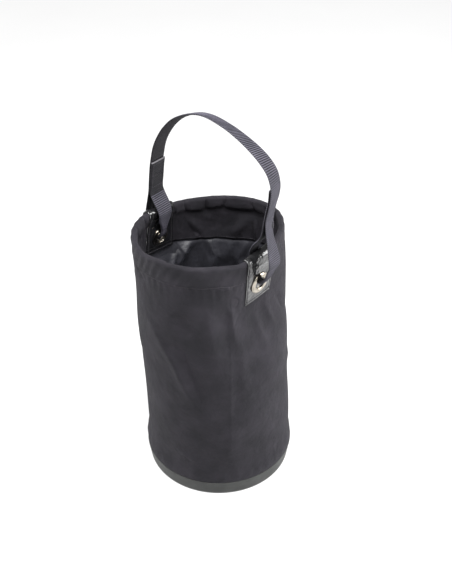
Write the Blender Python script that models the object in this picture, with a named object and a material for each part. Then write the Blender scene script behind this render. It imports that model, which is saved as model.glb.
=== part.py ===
"""Rope storage bag: an open canvas bucket in a moulded base cap, with a webbing carry handle.

The handle's two ends pass through a grommet on each side of the rolled rim. Lengths are in
metres, +Z is up, and the origin is the middle of the cap's underside. The patches and
grommets are on the -X side (left) and the +X side (right).
"""

import math

import bpy
import numpy as np
from mathutils import Matrix, Vector

# Base cap: a moulded cup that the canvas stands in.
CAP_HEIGHT = 0.0245
CAP_FOOT_RADIUS = 0.1015
CAP_LIP_RADIUS = 0.1052
CAP_EDGE_ROUNDING = 0.003
CAP_FLOOR = 0.004
CAP_WALL = 0.003
FIT_GAP = 0.0003

# Canvas tube.
BODY_RADIUS = 0.1015
CANVAS = 0.0009
LINING = 0.0006
LINING_GAP = 0.0007
LEAN_AT_RIM = (-0.012, -0.005)
LEAN_START = 0.026
LEAN_BEND = 0.030
LEAN_FULL = 0.375

# Mouth: an oval rolled rim that rises and falls a little round the bag.
ROLL_HEIGHT = 0.3729
ROLL_RADIUS = 0.004
ROD_RADIUS = 0.0025
RIM_TILT = 0.0032
RIM_TILT_TOWARDS = math.radians(-44.0)
RIM_WAVE = 0.0049
RIM_WAVE_CREST = math.radians(44.0)
RIM_LIFT = 0.0070
RIM_LIFT_TOWARDS = math.radians(-64.0)
RIM_LIFT_SPAN = (math.radians(45.0), math.radians(17.0))
MOUTH_RADIUS = 0.0987
MOUTH_OVAL = 0.0065
MOUTH_BLEND = (0.190, 0.306)

# Hem facing inside the rim, and the lining that hangs from it.
HEM_DEPTH = 0.025
FACING_DEPTH = 0.062
FACING_STACK = 0.0038
FACING_ROWS = (0.0, 0.008, 0.016, HEM_DEPTH, 0.045, 0.057, FACING_DEPTH)

# Rows up the canvas wall and the lining, as shares of the height from foot to rim.
WALL_SHARES = (0.0, 0.055, 0.12, 0.3, 0.5, 0.6, 0.67, 0.74, 0.79, 0.82, 0.845, 0.88, 0.93, 1.0)
LINING_TOP_SHARE = 0.845

# Reinforcing patches, folded over the rim.
PATCH_ANGLES = {"left": math.pi, "right": math.radians(-2.5)}
PATCH_HALF_ANGLE = math.radians(16.0)
PATCH_COLUMNS = 5
PATCH_CLEARANCE = math.radians(0.7)
PATCH_RADIUS = 0.0915
PATCH_DROP = 0.0655
PATCH_THICKNESS = 0.0012
PATCH_SLOPE = {"left": 0.008, "right": -0.009}
FACET_HALF_ANGLE = math.radians(15.5)
FACET_FADE_ANGLE = math.radians(24.0)
SLOPE_FADE_ANGLE = math.radians(52.0)
SLOPE_FADE_HEIGHTS = (0.215, 0.306)
STITCH_INSET = 0.003
THREAD_RADIUS = 0.00035

# Grommets: a flanged barrel outside and a washer inside.
GROMMET_DROP = 0.041
GROMMET_HOLE_RADIUS = 0.008
GROMMET_WALL = 0.0007
GROMMET_FLANGE_RADIUS = 0.0150
GROMMET_FLANGE_HEIGHT = 0.0016

# Handle webbing.
STRAP_WIDTH = 0.0254
STRAP_THICKNESS = 0.0018

RING_STEP = math.radians(6.0)

FABRIC_BLACK = (0.035, 0.033, 0.038, 1.0)
LINING_BLACK = (0.040, 0.041, 0.050, 1.0)
WEBBING_GREY = (0.075, 0.068, 0.085, 1.0)
COATED_BLACK = (0.012, 0.012, 0.013, 1.0)
CAP_GREY = (0.070, 0.070, 0.072, 1.0)
NICKEL = (0.78, 0.74, 0.66, 1.0)
THREAD_GREY = (0.05, 0.05, 0.055, 1.0)
ROD_WHITE = (0.75, 0.75, 0.72, 1.0)


def clear_scene():
    for obj in list(bpy.data.objects):
        bpy.data.objects.remove(obj)


def finish_material(name, colour, roughness, metallic=0.0):
    material = bpy.data.materials.get(name)
    if material is None:
        material = bpy.data.materials.new(name)
        material.use_nodes = True
        shader = material.node_tree.nodes["Principled BSDF"]
        shader.inputs["Base Color"].default_value = colour
        shader.inputs["Roughness"].default_value = roughness
        shader.inputs["Metallic"].default_value = metallic
    return material


def ease(start, end, value):
    """0 before start, 1 after end, and a smooth S between them."""
    t = np.clip((value - start) / (end - start), 0.0, 1.0)
    return t * t * (3.0 - 2.0 * t)


def turn_from(angle, theta):
    """How far theta is round from angle, between -pi and pi."""
    return (theta - angle + np.pi) % (2.0 * np.pi) - np.pi


# The canvas surface: every layer is an offset from it.


def centre_line(z):
    """The tube's middle at height z: straight in the cap, then a slight steady lean."""
    above = z - LEAN_START
    bend = above * above / (2.0 * LEAN_BEND)
    rise = np.where(above < LEAN_BEND, bend, above - LEAN_BEND / 2.0)
    rise = np.where(above < 0.0, 0.0, rise)
    share = rise / (LEAN_FULL - LEAN_START - LEAN_BEND / 2.0)
    return LEAN_AT_RIM[0] * share, LEAN_AT_RIM[1] * share


def body_radius(z):
    """The tube's outer radius below the mouth, where it narrows to fit the drafted cap."""
    draft = (CAP_LIP_RADIUS - CAP_FOOT_RADIUS) * (z / CAP_HEIGHT)
    in_cap = CAP_FOOT_RADIUS + draft - CAP_WALL - FIT_GAP
    return np.where(z < CAP_HEIGHT, np.minimum(in_cap, BODY_RADIUS), BODY_RADIUS)


def mouth_radius(theta):
    """An oval, narrower across the patches, with a flat facet behind each patch."""
    oval = MOUTH_RADIUS - MOUTH_OVAL * np.cos(2.0 * theta)
    radius = oval
    for angle in PATCH_ANGLES.values():
        off = np.abs(turn_from(angle, theta))
        edge = MOUTH_RADIUS - MOUTH_OVAL * math.cos(2.0 * FACET_HALF_ANGLE)
        flat = edge * math.cos(FACET_HALF_ANGLE) / np.cos(np.minimum(off, 1.0))
        radius = np.where(off < FACET_FADE_ANGLE, np.minimum(radius, flat), radius)
    return radius


def roll_height(theta):
    """Height of the roll's middle round the rim: a tilt, a two-crested wave, and a lift over
    one stretch between the patches."""
    tilt = RIM_TILT * np.cos(theta - RIM_TILT_TOWARDS)
    wave = RIM_WAVE * np.cos(2.0 * (theta - RIM_WAVE_CREST))
    lift = RIM_LIFT * ease(*RIM_LIFT_SPAN, np.abs(turn_from(RIM_LIFT_TOWARDS, theta)))
    return ROLL_HEIGHT + tilt + wave + lift


def wall_radius(theta, z):
    """Outer radius of the canvas: the round body blends to the oval mouth, and each patch's
    facet slopes, fading out round the bag and below the patch."""
    mouth = ease(*MOUTH_BLEND, z)
    radius = body_radius(z) + mouth * (mouth_radius(theta) - BODY_RADIUS)
    for side, angle in PATCH_ANGLES.items():
        off = np.abs(turn_from(angle, theta))
        fade = 1.0 - ease(FACET_HALF_ANGLE, SLOPE_FADE_ANGLE, off)
        drop = np.clip((roll_height(angle) - z) / PATCH_DROP, 0.0, 1.0)
        drop = drop * ease(*SLOPE_FADE_HEIGHTS, z)
        radius = radius + PATCH_SLOPE[side] * drop * fade / np.cos(np.minimum(off, 0.3))
    return radius


def at(theta, z, radius):
    middle_x, middle_y = centre_line(z)
    x = middle_x + radius * np.cos(theta)
    y = middle_y + radius * np.sin(theta)
    return np.stack(np.broadcast_arrays(x, y, z), axis=-1)


def outside(theta, z, offset):
    """A point offset out from the canvas."""
    return at(theta, z, wall_radius(theta, z) + offset)


def hem(theta, depth, offset):
    """A point offset out from the canvas's outside, at a depth below the roll's middle."""
    return outside(theta, roll_height(theta) - depth, offset)


def facing_stack(depth):
    """How far in from the canvas's outside the facing's inner side is, at a depth below the
    roll's middle: the whole roll at the top, and only the layers below the hem."""
    closing = 1.0 - ease(0.0, HEM_DEPTH, depth)
    return FACING_STACK + (2.0 * ROLL_RADIUS - FACING_STACK) * closing


def facing(theta, depth, offset):
    """A point offset in from the hem facing's inner side."""
    z = roll_height(theta) - depth
    return at(theta, z, wall_radius(theta, z) - facing_stack(depth) - offset)


def over_roll(theta, turn, radius):
    """A point round the roll: turn 0 is outside, a quarter turn is the crest, pi is inside."""
    middle = roll_height(theta)
    hub = wall_radius(theta, middle) - ROLL_RADIUS
    return at(theta, middle + radius * math.sin(turn), hub + radius * math.cos(turn))


# Mesh helpers.


def add_mesh(name, points, faces, material, smooth_angle=40.0):
    mesh = bpy.data.meshes.new(name)
    mesh.from_pydata([tuple(point) for point in points], [], faces)
    mesh.materials.append(material)
    mesh.shade_smooth()
    mesh.set_sharp_from_angle(angle=math.radians(smooth_angle))
    obj = bpy.data.objects.new(name, mesh)
    bpy.context.scene.collection.objects.link(obj)
    return obj


def patch_angles(side):
    """Angles of the stations across a patch."""
    spread = np.linspace(-PATCH_HALF_ANGLE, PATCH_HALF_ANGLE, PATCH_COLUMNS)
    return PATCH_ANGLES[side] + spread


def between_patches(start, end):
    """Angles from one patch's edge to the next one's, about RING_STEP apart."""
    return np.linspace(start, end, round((end - start) / RING_STEP) + 1)


def ring_angles():
    """Angles round the bag: every layer has the patches' own stations, so none cuts another."""
    right, left = patch_angles("right"), patch_angles("left")
    back = between_patches(right[-1], left[0])[1:-1]
    front = between_patches(left[-1], right[0] + 2.0 * math.pi)[1:-1]
    return np.concatenate([right, back, left, front])


def ring_solid(name, rows, material, cap_ends=False):
    """A solid swept round the bag: rows are its section's points, each a whole ring. The
    section closes on itself or, with cap_ends, its first and last rings are filled."""
    grid = np.stack(rows)
    count, around = grid.shape[:2]
    faces = []
    for row in range(count - 1 if cap_ends else count):
        low = row * around
        high = ((row + 1) % count) * around
        for i in range(around):
            j = (i + 1) % around
            faces.append((low + i, low + j, high + j, high + i))
    if cap_ends:
        faces.append(tuple(range(around))[::-1])
        faces.append(tuple(range((count - 1) * around, count * around)))
    return add_mesh(name, grid.reshape(-1, 3), faces, material)


def slab(name, top, under, material):
    """A strip with a thickness, from two grids of points with the same rows and columns."""
    rows, columns = top.shape[:2]
    loop = np.concatenate([top, under[:, ::-1]], axis=1)
    wide = 2 * columns
    faces = []
    for row in range(rows - 1):
        for i in range(wide):
            j = (i + 1) % wide
            faces.append((row * wide + i, row * wide + j, (row + 1) * wide + j, (row + 1) * wide + i))
    for i in range(columns - 1):
        last = (rows - 1) * wide
        faces.append((i, wide - 1 - i, wide - 2 - i, i + 1))
        faces.append((last + i, last + i + 1, last + wide - 2 - i, last + wide - 1 - i))
    return add_mesh(name, loop.reshape(-1, 3), faces, material)


def thread(name, points, material, cyclic):
    """A round thread through the points."""
    curve = bpy.data.curves.new(name, "CURVE")
    curve.dimensions = "3D"
    spline = curve.splines.new("POLY")
    spline.points.add(len(points) - 1)
    for place, point in zip(spline.points, points):
        place.co = (*point, 1.0)
    spline.use_cyclic_u = cyclic
    curve.bevel_depth = THREAD_RADIUS
    curve.bevel_resolution = 1
    curve.use_fill_caps = not cyclic
    curve.materials.append(material)
    obj = bpy.data.objects.new(name, curve)
    bpy.context.scene.collection.objects.link(obj)
    return obj


def turned(name, profile, place, direction, material, segments=28):
    """A ring turned about the line through place along direction. profile is the section's
    closed outline, as (distance along the line, radius) pairs."""
    angles = np.arange(segments) * 2.0 * math.pi / segments
    points = []
    for along, radius in profile:
        for angle in angles:
            points.append((along, radius * math.cos(angle), radius * math.sin(angle)))
    faces = []
    for row in range(len(profile)):
        low = row * segments
        high = ((row + 1) % len(profile)) * segments
        for i in range(segments):
            j = (i + 1) % segments
            faces.append((low + i, low + j, high + j, high + i))
    obj = add_mesh(name, points, faces, material)
    obj.location = place
    obj.rotation_euler = (0.0, -math.asin(direction[2]), math.atan2(direction[1], direction[0]))
    return obj


# The bag's pieces.


def make_base_cap():
    """A cup with a flat underside, a rounded lower edge, drafted walls and a rounded lip."""
    theta = ring_angles()
    inner_floor = CAP_FOOT_RADIUS + (CAP_LIP_RADIUS - CAP_FOOT_RADIUS) * CAP_FLOOR / CAP_HEIGHT
    lip = 0.0008
    section = [
        (0.0, CAP_FOOT_RADIUS - CAP_EDGE_ROUNDING),
        (CAP_EDGE_ROUNDING * 0.29, CAP_FOOT_RADIUS - CAP_EDGE_ROUNDING * 0.29),
        (CAP_EDGE_ROUNDING, CAP_FOOT_RADIUS + 0.0002),
        (CAP_HEIGHT - lip, CAP_LIP_RADIUS),
        (CAP_HEIGHT, CAP_LIP_RADIUS - lip),
        (CAP_HEIGHT, CAP_LIP_RADIUS - CAP_WALL + lip / 2.0),
        (CAP_HEIGHT - lip, CAP_LIP_RADIUS - CAP_WALL),
        (CAP_FLOOR, inner_floor - CAP_WALL),
    ]
    rows = [at(theta, np.full_like(theta, z), radius) for z, radius in section]
    plastic = finish_material("moulded_cap_plastic", CAP_GREY, 0.5)
    return ring_solid("base_cap", rows, plastic, cap_ends=True)


def wall_levels(shares):
    """Heights of the tube's rows, as shares of the way from its foot to the roll's middle."""
    foot = np.full(len(ring_angles()), CAP_FLOOR + FIT_GAP)
    top = roll_height(ring_angles())
    return [foot + (top - foot) * share for share in shares]


def make_canvas():
    """The tube: up outside, over the rim's rod, down inside as the hem facing, and back. It is
    open below the facing, so the rod and the lining's top edge lie between its layers."""
    fabric = finish_material("black_canvas", FABRIC_BLACK, 0.9)
    theta = ring_angles()
    levels = wall_levels(WALL_SHARES)
    turns = [math.radians(angle) for angle in (36, 72, 108, 144)]
    rows = [outside(theta, z, 0.0) for z in levels]
    rows += [over_roll(theta, turn, ROLL_RADIUS) for turn in turns]
    rows += [facing(theta, depth, 0.0) for depth in FACING_ROWS]
    rows += [facing(theta, depth, -CANVAS) for depth in FACING_ROWS[::-1]]
    rows += [over_roll(theta, turn, ROLL_RADIUS - CANVAS) for turn in turns[::-1]]
    rows += [outside(theta, z, -CANVAS) for z in levels[::-1]]
    return ring_solid("canvas_body", rows, fabric)


def make_canvas_floor():
    """The round canvas floor, sewn in at the foot of the tube."""
    theta = ring_angles()
    fabric = finish_material("black_canvas", FABRIC_BLACK, 0.9)
    low = np.full_like(theta, CAP_FLOOR + FIT_GAP)
    radius = wall_radius(theta, low) - CANVAS - FIT_GAP
    rows = [at(theta, low, radius), at(theta, low + CANVAS, radius)]
    return ring_solid("canvas_floor", rows, fabric, cap_ends=True)


def make_rim_rod():
    """The plastic rod inside the rolled hem, which holds the mouth open."""
    theta = ring_angles()
    plastic = finish_material("rim_rod_plastic", ROD_WHITE, 0.4)
    turns = [math.radians(angle) for angle in range(0, 360, 60)]
    rows = [over_roll(theta, turn, ROD_RADIUS) for turn in turns]
    return ring_solid("rim_rod", rows, plastic)


def make_lining():
    """The thin inner bag, from between the hem's layers down to the floor, open at its top."""
    fabric = finish_material("lining_fabric", LINING_BLACK, 0.6)
    theta = ring_angles()
    bottom = CAP_FLOOR + CANVAS + FIT_GAP + LINING_GAP
    out = CANVAS + LINING_GAP
    levels = wall_levels(WALL_SHARES[: WALL_SHARES.index(LINING_TOP_SHARE) + 1])
    levels[0] = np.full_like(theta, bottom)
    rows = [outside(theta, z, -out) for z in levels]
    inner = [np.maximum(z, bottom + LINING) for z in levels]
    rows += [outside(theta, z, -out - LINING) for z in inner[::-1]]
    return ring_solid("inner_lining", rows, fabric, cap_ends=True)


def patch_rows(side, offset):
    """One face of a patch: up outside, over the rim and down inside."""
    theta = patch_angles(side)
    top = roll_height(theta)
    depths = (1.0, 0.75, 0.5, 0.25, 0.0)
    rows = [outside(theta, top - PATCH_DROP * depth, offset) for depth in depths]
    for angle in (36, 72, 108, 144):
        rows.append(over_roll(theta, math.radians(angle), ROLL_RADIUS + offset))
    for depth in (*FACING_ROWS, PATCH_DROP):
        rows.append(facing(theta, np.full_like(theta, depth), offset))
    return np.stack(rows)


def make_patch(side):
    coated = finish_material("coated_patch", COATED_BLACK, 0.2)
    near = patch_rows(side, FIT_GAP)
    far = patch_rows(side, FIT_GAP + PATCH_THICKNESS)
    return slab("patch_" + side, near, far, coated)


def grommet_frame(side):
    """Middle of the grommet's hole on the canvas's outside, and the outward direction there."""
    angle = PATCH_ANGLES[side]
    z = roll_height(angle) - GROMMET_DROP
    place = outside(angle, np.array(z), 0.0)
    step = 0.008
    rise = outside(angle, np.array(z + step), 0.0) - outside(angle, np.array(z - step), 0.0)
    across = np.array([-math.sin(angle), math.cos(angle), 0.0])
    normal = np.cross(across, rise)
    return place, normal / np.linalg.norm(normal)


def make_grommet(side):
    """Outer half: a domed flange and the barrel that passes through every layer."""
    metal = finish_material("nickel_plate", NICKEL, 0.2, 1.0)
    place, normal = grommet_frame(side)
    face = 2.0 * FIT_GAP + PATCH_THICKNESS + 0.0002
    back = -(FACING_STACK + PATCH_THICKNESS + 2.0 * FIT_GAP + GROMMET_FLANGE_HEIGHT)
    hole = GROMMET_HOLE_RADIUS
    rim = GROMMET_FLANGE_RADIUS
    top = face + GROMMET_FLANGE_HEIGHT
    profile = [
        (back - 0.0006, hole),
        (back - 0.0006, hole + GROMMET_WALL),
        (face, hole + GROMMET_WALL),
        (face, rim),
        (face + 0.0005, rim + 0.0002),
        (top - 0.0003, rim - 0.0012),
        (top, (rim + hole) / 2.0 + 0.0006),
        (top - 0.0004, hole + 0.0010),
        (face + 0.0002, hole),
    ]
    return turned("grommet_" + side, profile, place, normal, metal)


def make_washer(side):
    """Inner half: the ring that the barrel is set over."""
    metal = finish_material("nickel_plate", NICKEL, 0.2, 1.0)
    place, normal = grommet_frame(side)
    near = -(FACING_STACK + PATCH_THICKNESS + 2.0 * FIT_GAP + 0.0002)
    far = near - GROMMET_FLANGE_HEIGHT + 0.0006
    hole = GROMMET_HOLE_RADIUS + GROMMET_WALL + FIT_GAP / 2.0
    rim = GROMMET_FLANGE_RADIUS - 0.001
    profile = [
        (far, hole),
        (far, rim - 0.0012),
        (near - 0.0005, rim + 0.0002),
        (near, rim),
        (near, hole),
    ]
    return turned("washer_" + side, profile, place, normal, metal)


def cut_grommet_hole(side, targets):
    """The hole through the layers, which the barrel fills."""
    place, normal = grommet_frame(side)
    bpy.ops.mesh.primitive_cylinder_add(
        vertices=24,
        radius=GROMMET_HOLE_RADIUS + GROMMET_WALL + FIT_GAP,
        depth=0.06,
        location=place,
        rotation=Vector(normal).to_track_quat("Z", "Y").to_euler(),
    )
    cutter = bpy.context.object
    cutter.name = "grommet_hole_cutter_" + side
    cutter.hide_render = True
    cutter.display_type = "WIRE"
    for target in targets:
        cut = target.modifiers.new("grommet hole " + side, "BOOLEAN")
        cut.operation = "DIFFERENCE"
        cut.solver = "EXACT"
        cut.object = cutter


# Stitching.


def make_patch_stitching(side):
    """The row of stitches round a patch's outer face: down one side, along the foot and up."""
    grey = finish_material("thread", THREAD_GREY, 0.7)
    angles = patch_angles(side)
    inset = STITCH_INSET / PATCH_RADIUS
    low_angle = angles[0] + inset
    high_angle = angles[-1] - inset
    lift = FIT_GAP + PATCH_THICKNESS + FIT_GAP + THREAD_RADIUS
    foot = PATCH_DROP - STITCH_INSET
    route = [(low_angle, foot * share) for share in (0.0, 0.2, 0.4, 0.6, 0.8, 1.0)]
    route += [(low_angle + (high_angle - low_angle) * share, foot) for share in (0.25, 0.5, 0.75)]
    route += [(high_angle, foot * share) for share in (1.0, 0.8, 0.6, 0.4, 0.2, 0.0)]
    points = []
    for angle, depth in route:
        points.append(outside(angle, np.array(roll_height(angle) - depth), lift))
    return thread("patch_stitching_" + side, points, grey, cyclic=False)


def make_rim_stitching(name, depth, place_at):
    """A row of stitches round the mouth at a depth below the roll, between the patches."""
    grey = finish_material("thread", THREAD_GREY, 0.7)
    right, left = patch_angles("right"), patch_angles("left")
    turn = 2.0 * math.pi
    spans = {
        "back": between_patches(right[-1] + PATCH_CLEARANCE, left[0] - PATCH_CLEARANCE),
        "front": between_patches(left[-1] + PATCH_CLEARANCE, turn + right[0] - PATCH_CLEARANCE),
    }
    for part, theta in spans.items():
        points = place_at(theta, depth, FIT_GAP + THREAD_RADIUS)
        thread(name + "_" + part, points, grey, cyclic=False)


def make_seam_stitching():
    """The row of stitches up the tube's back seam."""
    grey = finish_material("thread", THREAD_GREY, 0.7)
    angle = math.radians(126.0)
    heights = np.linspace(CAP_HEIGHT + 0.002, roll_height(angle) - HEM_DEPTH - 0.002, 16)
    points = outside(np.full_like(heights, angle), heights, FIT_GAP + THREAD_RADIUS)
    return thread("side_seam_stitching", points, grey, cyclic=False)


# The handle. Its strap is one strip. From the left free end it runs down inside the bag, out
# through the left grommet, up and over, in through the right grommet, and up to the right
# free end. Both ends are lapped and sewn onto the strap's inner side.

# Strap's middle near a grommet, as (out, up, width, thickness) from the hole's middle: it
# gathers to pass through the hole.
THROUGH_HOLE = [
    (-0.0070, 0.0027, 0.0114, 0.0033),
    (-0.0020, 0.0024, 0.0118, 0.0034),
    (0.0028, 0.0027, 0.0118, 0.0034),
]
INNER_LEG = [
    (-0.0134, 0.0430, 0.0254, 0.0018),
    (-0.0134, 0.0330, 0.0254, 0.0018),
    (-0.0126, 0.0240, 0.0250, 0.0018),
    (-0.0120, 0.0150, 0.0215, 0.0021),
    (-0.0120, 0.0098, 0.0150, 0.0026),
    (-0.0103, 0.0053, 0.0116, 0.0031),
]
OUTER_LEG = {
    "left": [
        (0.0062, 0.0046, 0.0132, 0.0031),
        (0.0086, 0.0090, 0.0170, 0.0026),
        (0.0098, 0.0160, 0.0215, 0.0021),
        (0.0104, 0.0270, 0.0254, 0.0018),
        (0.0105, 0.0400, 0.0254, 0.0018),
    ],
    "right": [
        (0.0076, 0.0040, 0.0132, 0.0031),
        (0.0126, 0.0090, 0.0170, 0.0026),
        (0.0178, 0.0180, 0.0220, 0.0020),
        (0.0206, 0.0300, 0.0254, 0.0018),
        (0.0203, 0.0420, 0.0254, 0.0018),
    ],
}
INNER_NECK = {
    "left": [(-0.0005, 0.0640, 0.0254, 0.0018), (-0.0078, 0.0540, 0.0254, 0.0018)],
    "right": [
        (0.0000, 0.0830, 0.0254, 0.0018),
        (-0.0050, 0.0700, 0.0254, 0.0018),
        (-0.0105, 0.0560, 0.0254, 0.0018),
    ],
}

# Strap's middle over the bag, as (x, z, twist in degrees).
LEFT_LAP = [(-0.1051, 0.4030, 0), (-0.1033, 0.4185, 0), (-0.1014, 0.4340, 0), (-0.0990, 0.4480, 0)]
ARCH = [
    (-0.0935, 0.4700, 0),
    (-0.0850, 0.4875, 2),
    (-0.0725, 0.5050, 5),
    (-0.0555, 0.5205, 10),
    (-0.0310, 0.5330, 15),
    (-0.0070, 0.5372, 20),
    (0.0200, 0.5335, 20),
    (0.0420, 0.5270, 18),
    (0.0630, 0.5180, 14),
    (0.0790, 0.5080, 12),
    (0.0905, 0.4960, 12),
]
RIGHT_LAP = [(0.0958, 0.4800, 12), (0.0950, 0.4650, 12), (0.0916, 0.4500, 14), (0.0886, 0.4350, 15)]
RIGHT_NECK = [(0.0872, 0.4180, 14), (0.0885, 0.4020, 9)]
LEFT_NECK = [(-0.1083, 0.3880, 0)]


def hinge_frame(side):
    """Hole's middle, and the directions outwards and up along the patch."""
    place, out = grommet_frame(side)
    angle = PATCH_ANGLES[side]
    across = np.array([-math.sin(angle), math.cos(angle), 0.0])
    return place, out, np.cross(out, across)


def near_grommet(side, rows):
    """Strap rows at a grommet, untwisted."""
    place, out, up = hinge_frame(side)
    return [(*(place + out * away + up * rise), 0.0, *size) for away, rise, *size in rows]


def over_bag(rows):
    """Strap rows over the bag, in the upright plane through both grommets."""
    left, right = hinge_frame("left")[0], hinge_frame("right")[0]
    slant = (right[1] - left[1]) / (right[0] - left[0])
    size = (STRAP_WIDTH, STRAP_THICKNESS)
    return [(x, left[1] + slant * (x - left[0]), z, twist, *size) for x, z, twist in rows]


def strap_rows():
    """The strap's whole route, as rows of middle x, y, z, twist, width and thickness."""
    outer_left = near_grommet("left", OUTER_LEG["left"])
    outer_right = near_grommet("right", OUTER_LEG["right"][::-1])
    over = over_bag(LEFT_NECK + LEFT_LAP + ARCH + RIGHT_LAP + RIGHT_NECK)
    main = np.array(outer_left + over + outer_right)
    plies = main.copy()
    normals, _ = strap_axes(np.gradient(main[:, :3], axis=0), main[:, 3])
    plies[:, :3] -= normals * (STRAP_THICKNESS + 2.0 * FIT_GAP)
    plies[:, 3] *= -1.0
    first = len(outer_left) + len(LEFT_NECK)
    last = first + len(LEFT_LAP) + len(ARCH)
    lap_left = plies[first : first + len(LEFT_LAP)][::-1]
    lap_right = plies[last : last + len(RIGHT_LAP)][::-1]
    inner_left = near_grommet("left", INNER_NECK["left"] + INNER_LEG + THROUGH_HOLE)
    inner_right = near_grommet("right", (INNER_NECK["right"] + INNER_LEG + THROUGH_HOLE)[::-1])
    return np.concatenate([lap_left, inner_left, main, inner_right, lap_right])


def strap_axes(tangents, twist_degrees):
    """Unit vectors out of the strap's outer face and across its width, twisted about its run."""
    along = tangents / np.linalg.norm(tangents, axis=1)[:, None]
    across = np.array([0.0, 1.0, 0.0]) - along * along[:, 1:2]
    across /= np.linalg.norm(across, axis=1)[:, None]
    normal = np.cross(along, across)
    twist = np.radians(twist_degrees)[:, None]
    return (
        normal * np.cos(twist) + across * np.sin(twist),
        across * np.cos(twist) - normal * np.sin(twist),
    )


def smooth_rows(rows, spacing):
    """Catmull-Rom curve through the rows, sampled about every spacing."""
    padded = np.concatenate([2.0 * rows[:1] - rows[1:2], rows, 2.0 * rows[-1:] - rows[-2:-1]])
    samples = []
    for i in range(len(rows) - 1):
        a, b, c, d = padded[i : i + 4]
        count = max(1, round(float(np.linalg.norm(c[:3] - b[:3])) / spacing))
        for t in np.arange(count) / count:
            samples.append(
                b
                + 0.5 * t * (c - a)
                + t * t * (a - 2.5 * b + 2.0 * c - 0.5 * d)
                + t * t * t * (-0.5 * a + 1.5 * b - 1.5 * c + 0.5 * d)
            )
    samples.append(rows[-1])
    return np.array(samples)


def make_handle():
    """The webbing strap and the stitching of its two laps, hung on the grommets' common axis."""
    webbing = finish_material("handle_webbing", WEBBING_GREY, 0.8)
    grey = finish_material("thread", THREAD_GREY, 0.7)
    rows = smooth_rows(strap_rows(), 0.0075)
    middle = rows[:, :3]
    normal, across = strap_axes(np.gradient(middle, axis=0), rows[:, 3])
    half_width = rows[:, 4:5] / 2.0
    half_thickness = rows[:, 5:6] / 2.0
    edges = [middle - across * half_width, middle + across * half_width]
    top = np.stack([edge + normal * half_thickness for edge in edges], axis=1)
    under = np.stack([edge - normal * half_thickness for edge in edges], axis=1)
    pieces = [slab("handle_webbing", under, top, webbing)]
    lift = STRAP_THICKNESS / 2.0 + FIT_GAP + THREAD_RADIUS
    inset = STRAP_WIDTH / 2.0 - STITCH_INSET
    for side, picked in (("left", slice(1, 6)), ("right", slice(-6, -1))):
        run = middle[picked] + normal[picked] * lift
        edge = across[picked] * inset
        box = np.concatenate([run - edge, (run + edge)[::-1]])
        pieces.append(thread("lap_stitching_" + side, box, grey, cyclic=True))
    hinge = bpy.data.objects.new("handle_hinge", None)
    hinge.location = hinge_frame("left")[0]
    bpy.context.scene.collection.objects.link(hinge)
    for piece in pieces:
        if piece.type == "MESH":
            piece.data.transform(Matrix.Translation(-hinge.location))
        else:
            for point in piece.data.splines[0].points:
                point.co.xyz -= hinge.location
        piece.parent = hinge


def main():
    clear_scene()
    make_base_cap()
    canvas = make_canvas()
    make_canvas_floor()
    make_rim_rod()
    make_lining()
    make_rim_stitching("hem_stitching", HEM_DEPTH, hem)
    make_seam_stitching()
    make_rim_stitching("facing_stitching", FACING_DEPTH - STITCH_INSET, facing)
    for side in PATCH_ANGLES:
        patch = make_patch(side)
        make_grommet(side)
        make_washer(side)
        cut_grommet_hole(side, [canvas, patch])
        make_patch_stitching(side)
    make_handle()


main()
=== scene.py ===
"""Looks of the rope storage bag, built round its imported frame: a canvas bucket bag with a
crumpled nylon lining, a moulded base cap, coated patches with nickelled eyelets, and a
ribbed webbing handle. Lengths are in metres, +Z is up."""

import math

import bpy
import numpy as np
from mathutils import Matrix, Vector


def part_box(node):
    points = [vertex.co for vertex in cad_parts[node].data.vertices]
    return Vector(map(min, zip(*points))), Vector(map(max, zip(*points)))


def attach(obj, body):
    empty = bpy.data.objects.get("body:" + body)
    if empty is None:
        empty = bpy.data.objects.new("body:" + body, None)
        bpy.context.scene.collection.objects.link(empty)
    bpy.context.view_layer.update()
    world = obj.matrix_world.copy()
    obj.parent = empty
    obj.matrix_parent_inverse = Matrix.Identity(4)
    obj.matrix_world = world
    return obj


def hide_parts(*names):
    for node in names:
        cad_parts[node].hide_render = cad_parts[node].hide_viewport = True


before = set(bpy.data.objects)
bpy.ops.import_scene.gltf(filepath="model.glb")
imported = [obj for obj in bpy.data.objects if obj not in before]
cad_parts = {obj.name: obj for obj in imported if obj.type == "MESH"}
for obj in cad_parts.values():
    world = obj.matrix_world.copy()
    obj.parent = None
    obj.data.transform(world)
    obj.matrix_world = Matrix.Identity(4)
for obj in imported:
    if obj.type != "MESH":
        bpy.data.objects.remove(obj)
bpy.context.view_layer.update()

# Driving dimensions, the same as the frame's own solids.
CAP_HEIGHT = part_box("base_cap")[1].z
CAP_LIP_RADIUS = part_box("base_cap")[1].x
CAP_FOOT_RADIUS = CAP_LIP_RADIUS - 0.0037
CAP_EDGE_ROUNDING = 0.003
CAP_FLOOR = 0.004
CAP_WALL = 0.003
FIT_GAP = 0.0003
BODY_RADIUS = 0.1015
CANVAS = 0.0009
LINING = 0.0006
LINING_GAP = 0.0007
LEAN_AT_RIM = (-0.012, -0.005)
LEAN_START = 0.026
LEAN_BEND = 0.030
LEAN_FULL = 0.375
ROLL_HEIGHT = 0.3729
ROLL_RADIUS = 0.004
RIM_TILT = 0.0032
RIM_TILT_TOWARDS = math.radians(-44.0)
RIM_WAVE = 0.0049
RIM_WAVE_CREST = math.radians(44.0)
RIM_LIFT = 0.0070
RIM_LIFT_TOWARDS = math.radians(-64.0)
RIM_LIFT_SPAN = (math.radians(45.0), math.radians(17.0))
MOUTH_RADIUS = 0.0987
MOUTH_OVAL = 0.0065
MOUTH_BLEND = (0.190, 0.306)
HEM_DEPTH = 0.025
FACING_DEPTH = 0.062
FACING_STACK = 0.0038
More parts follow.
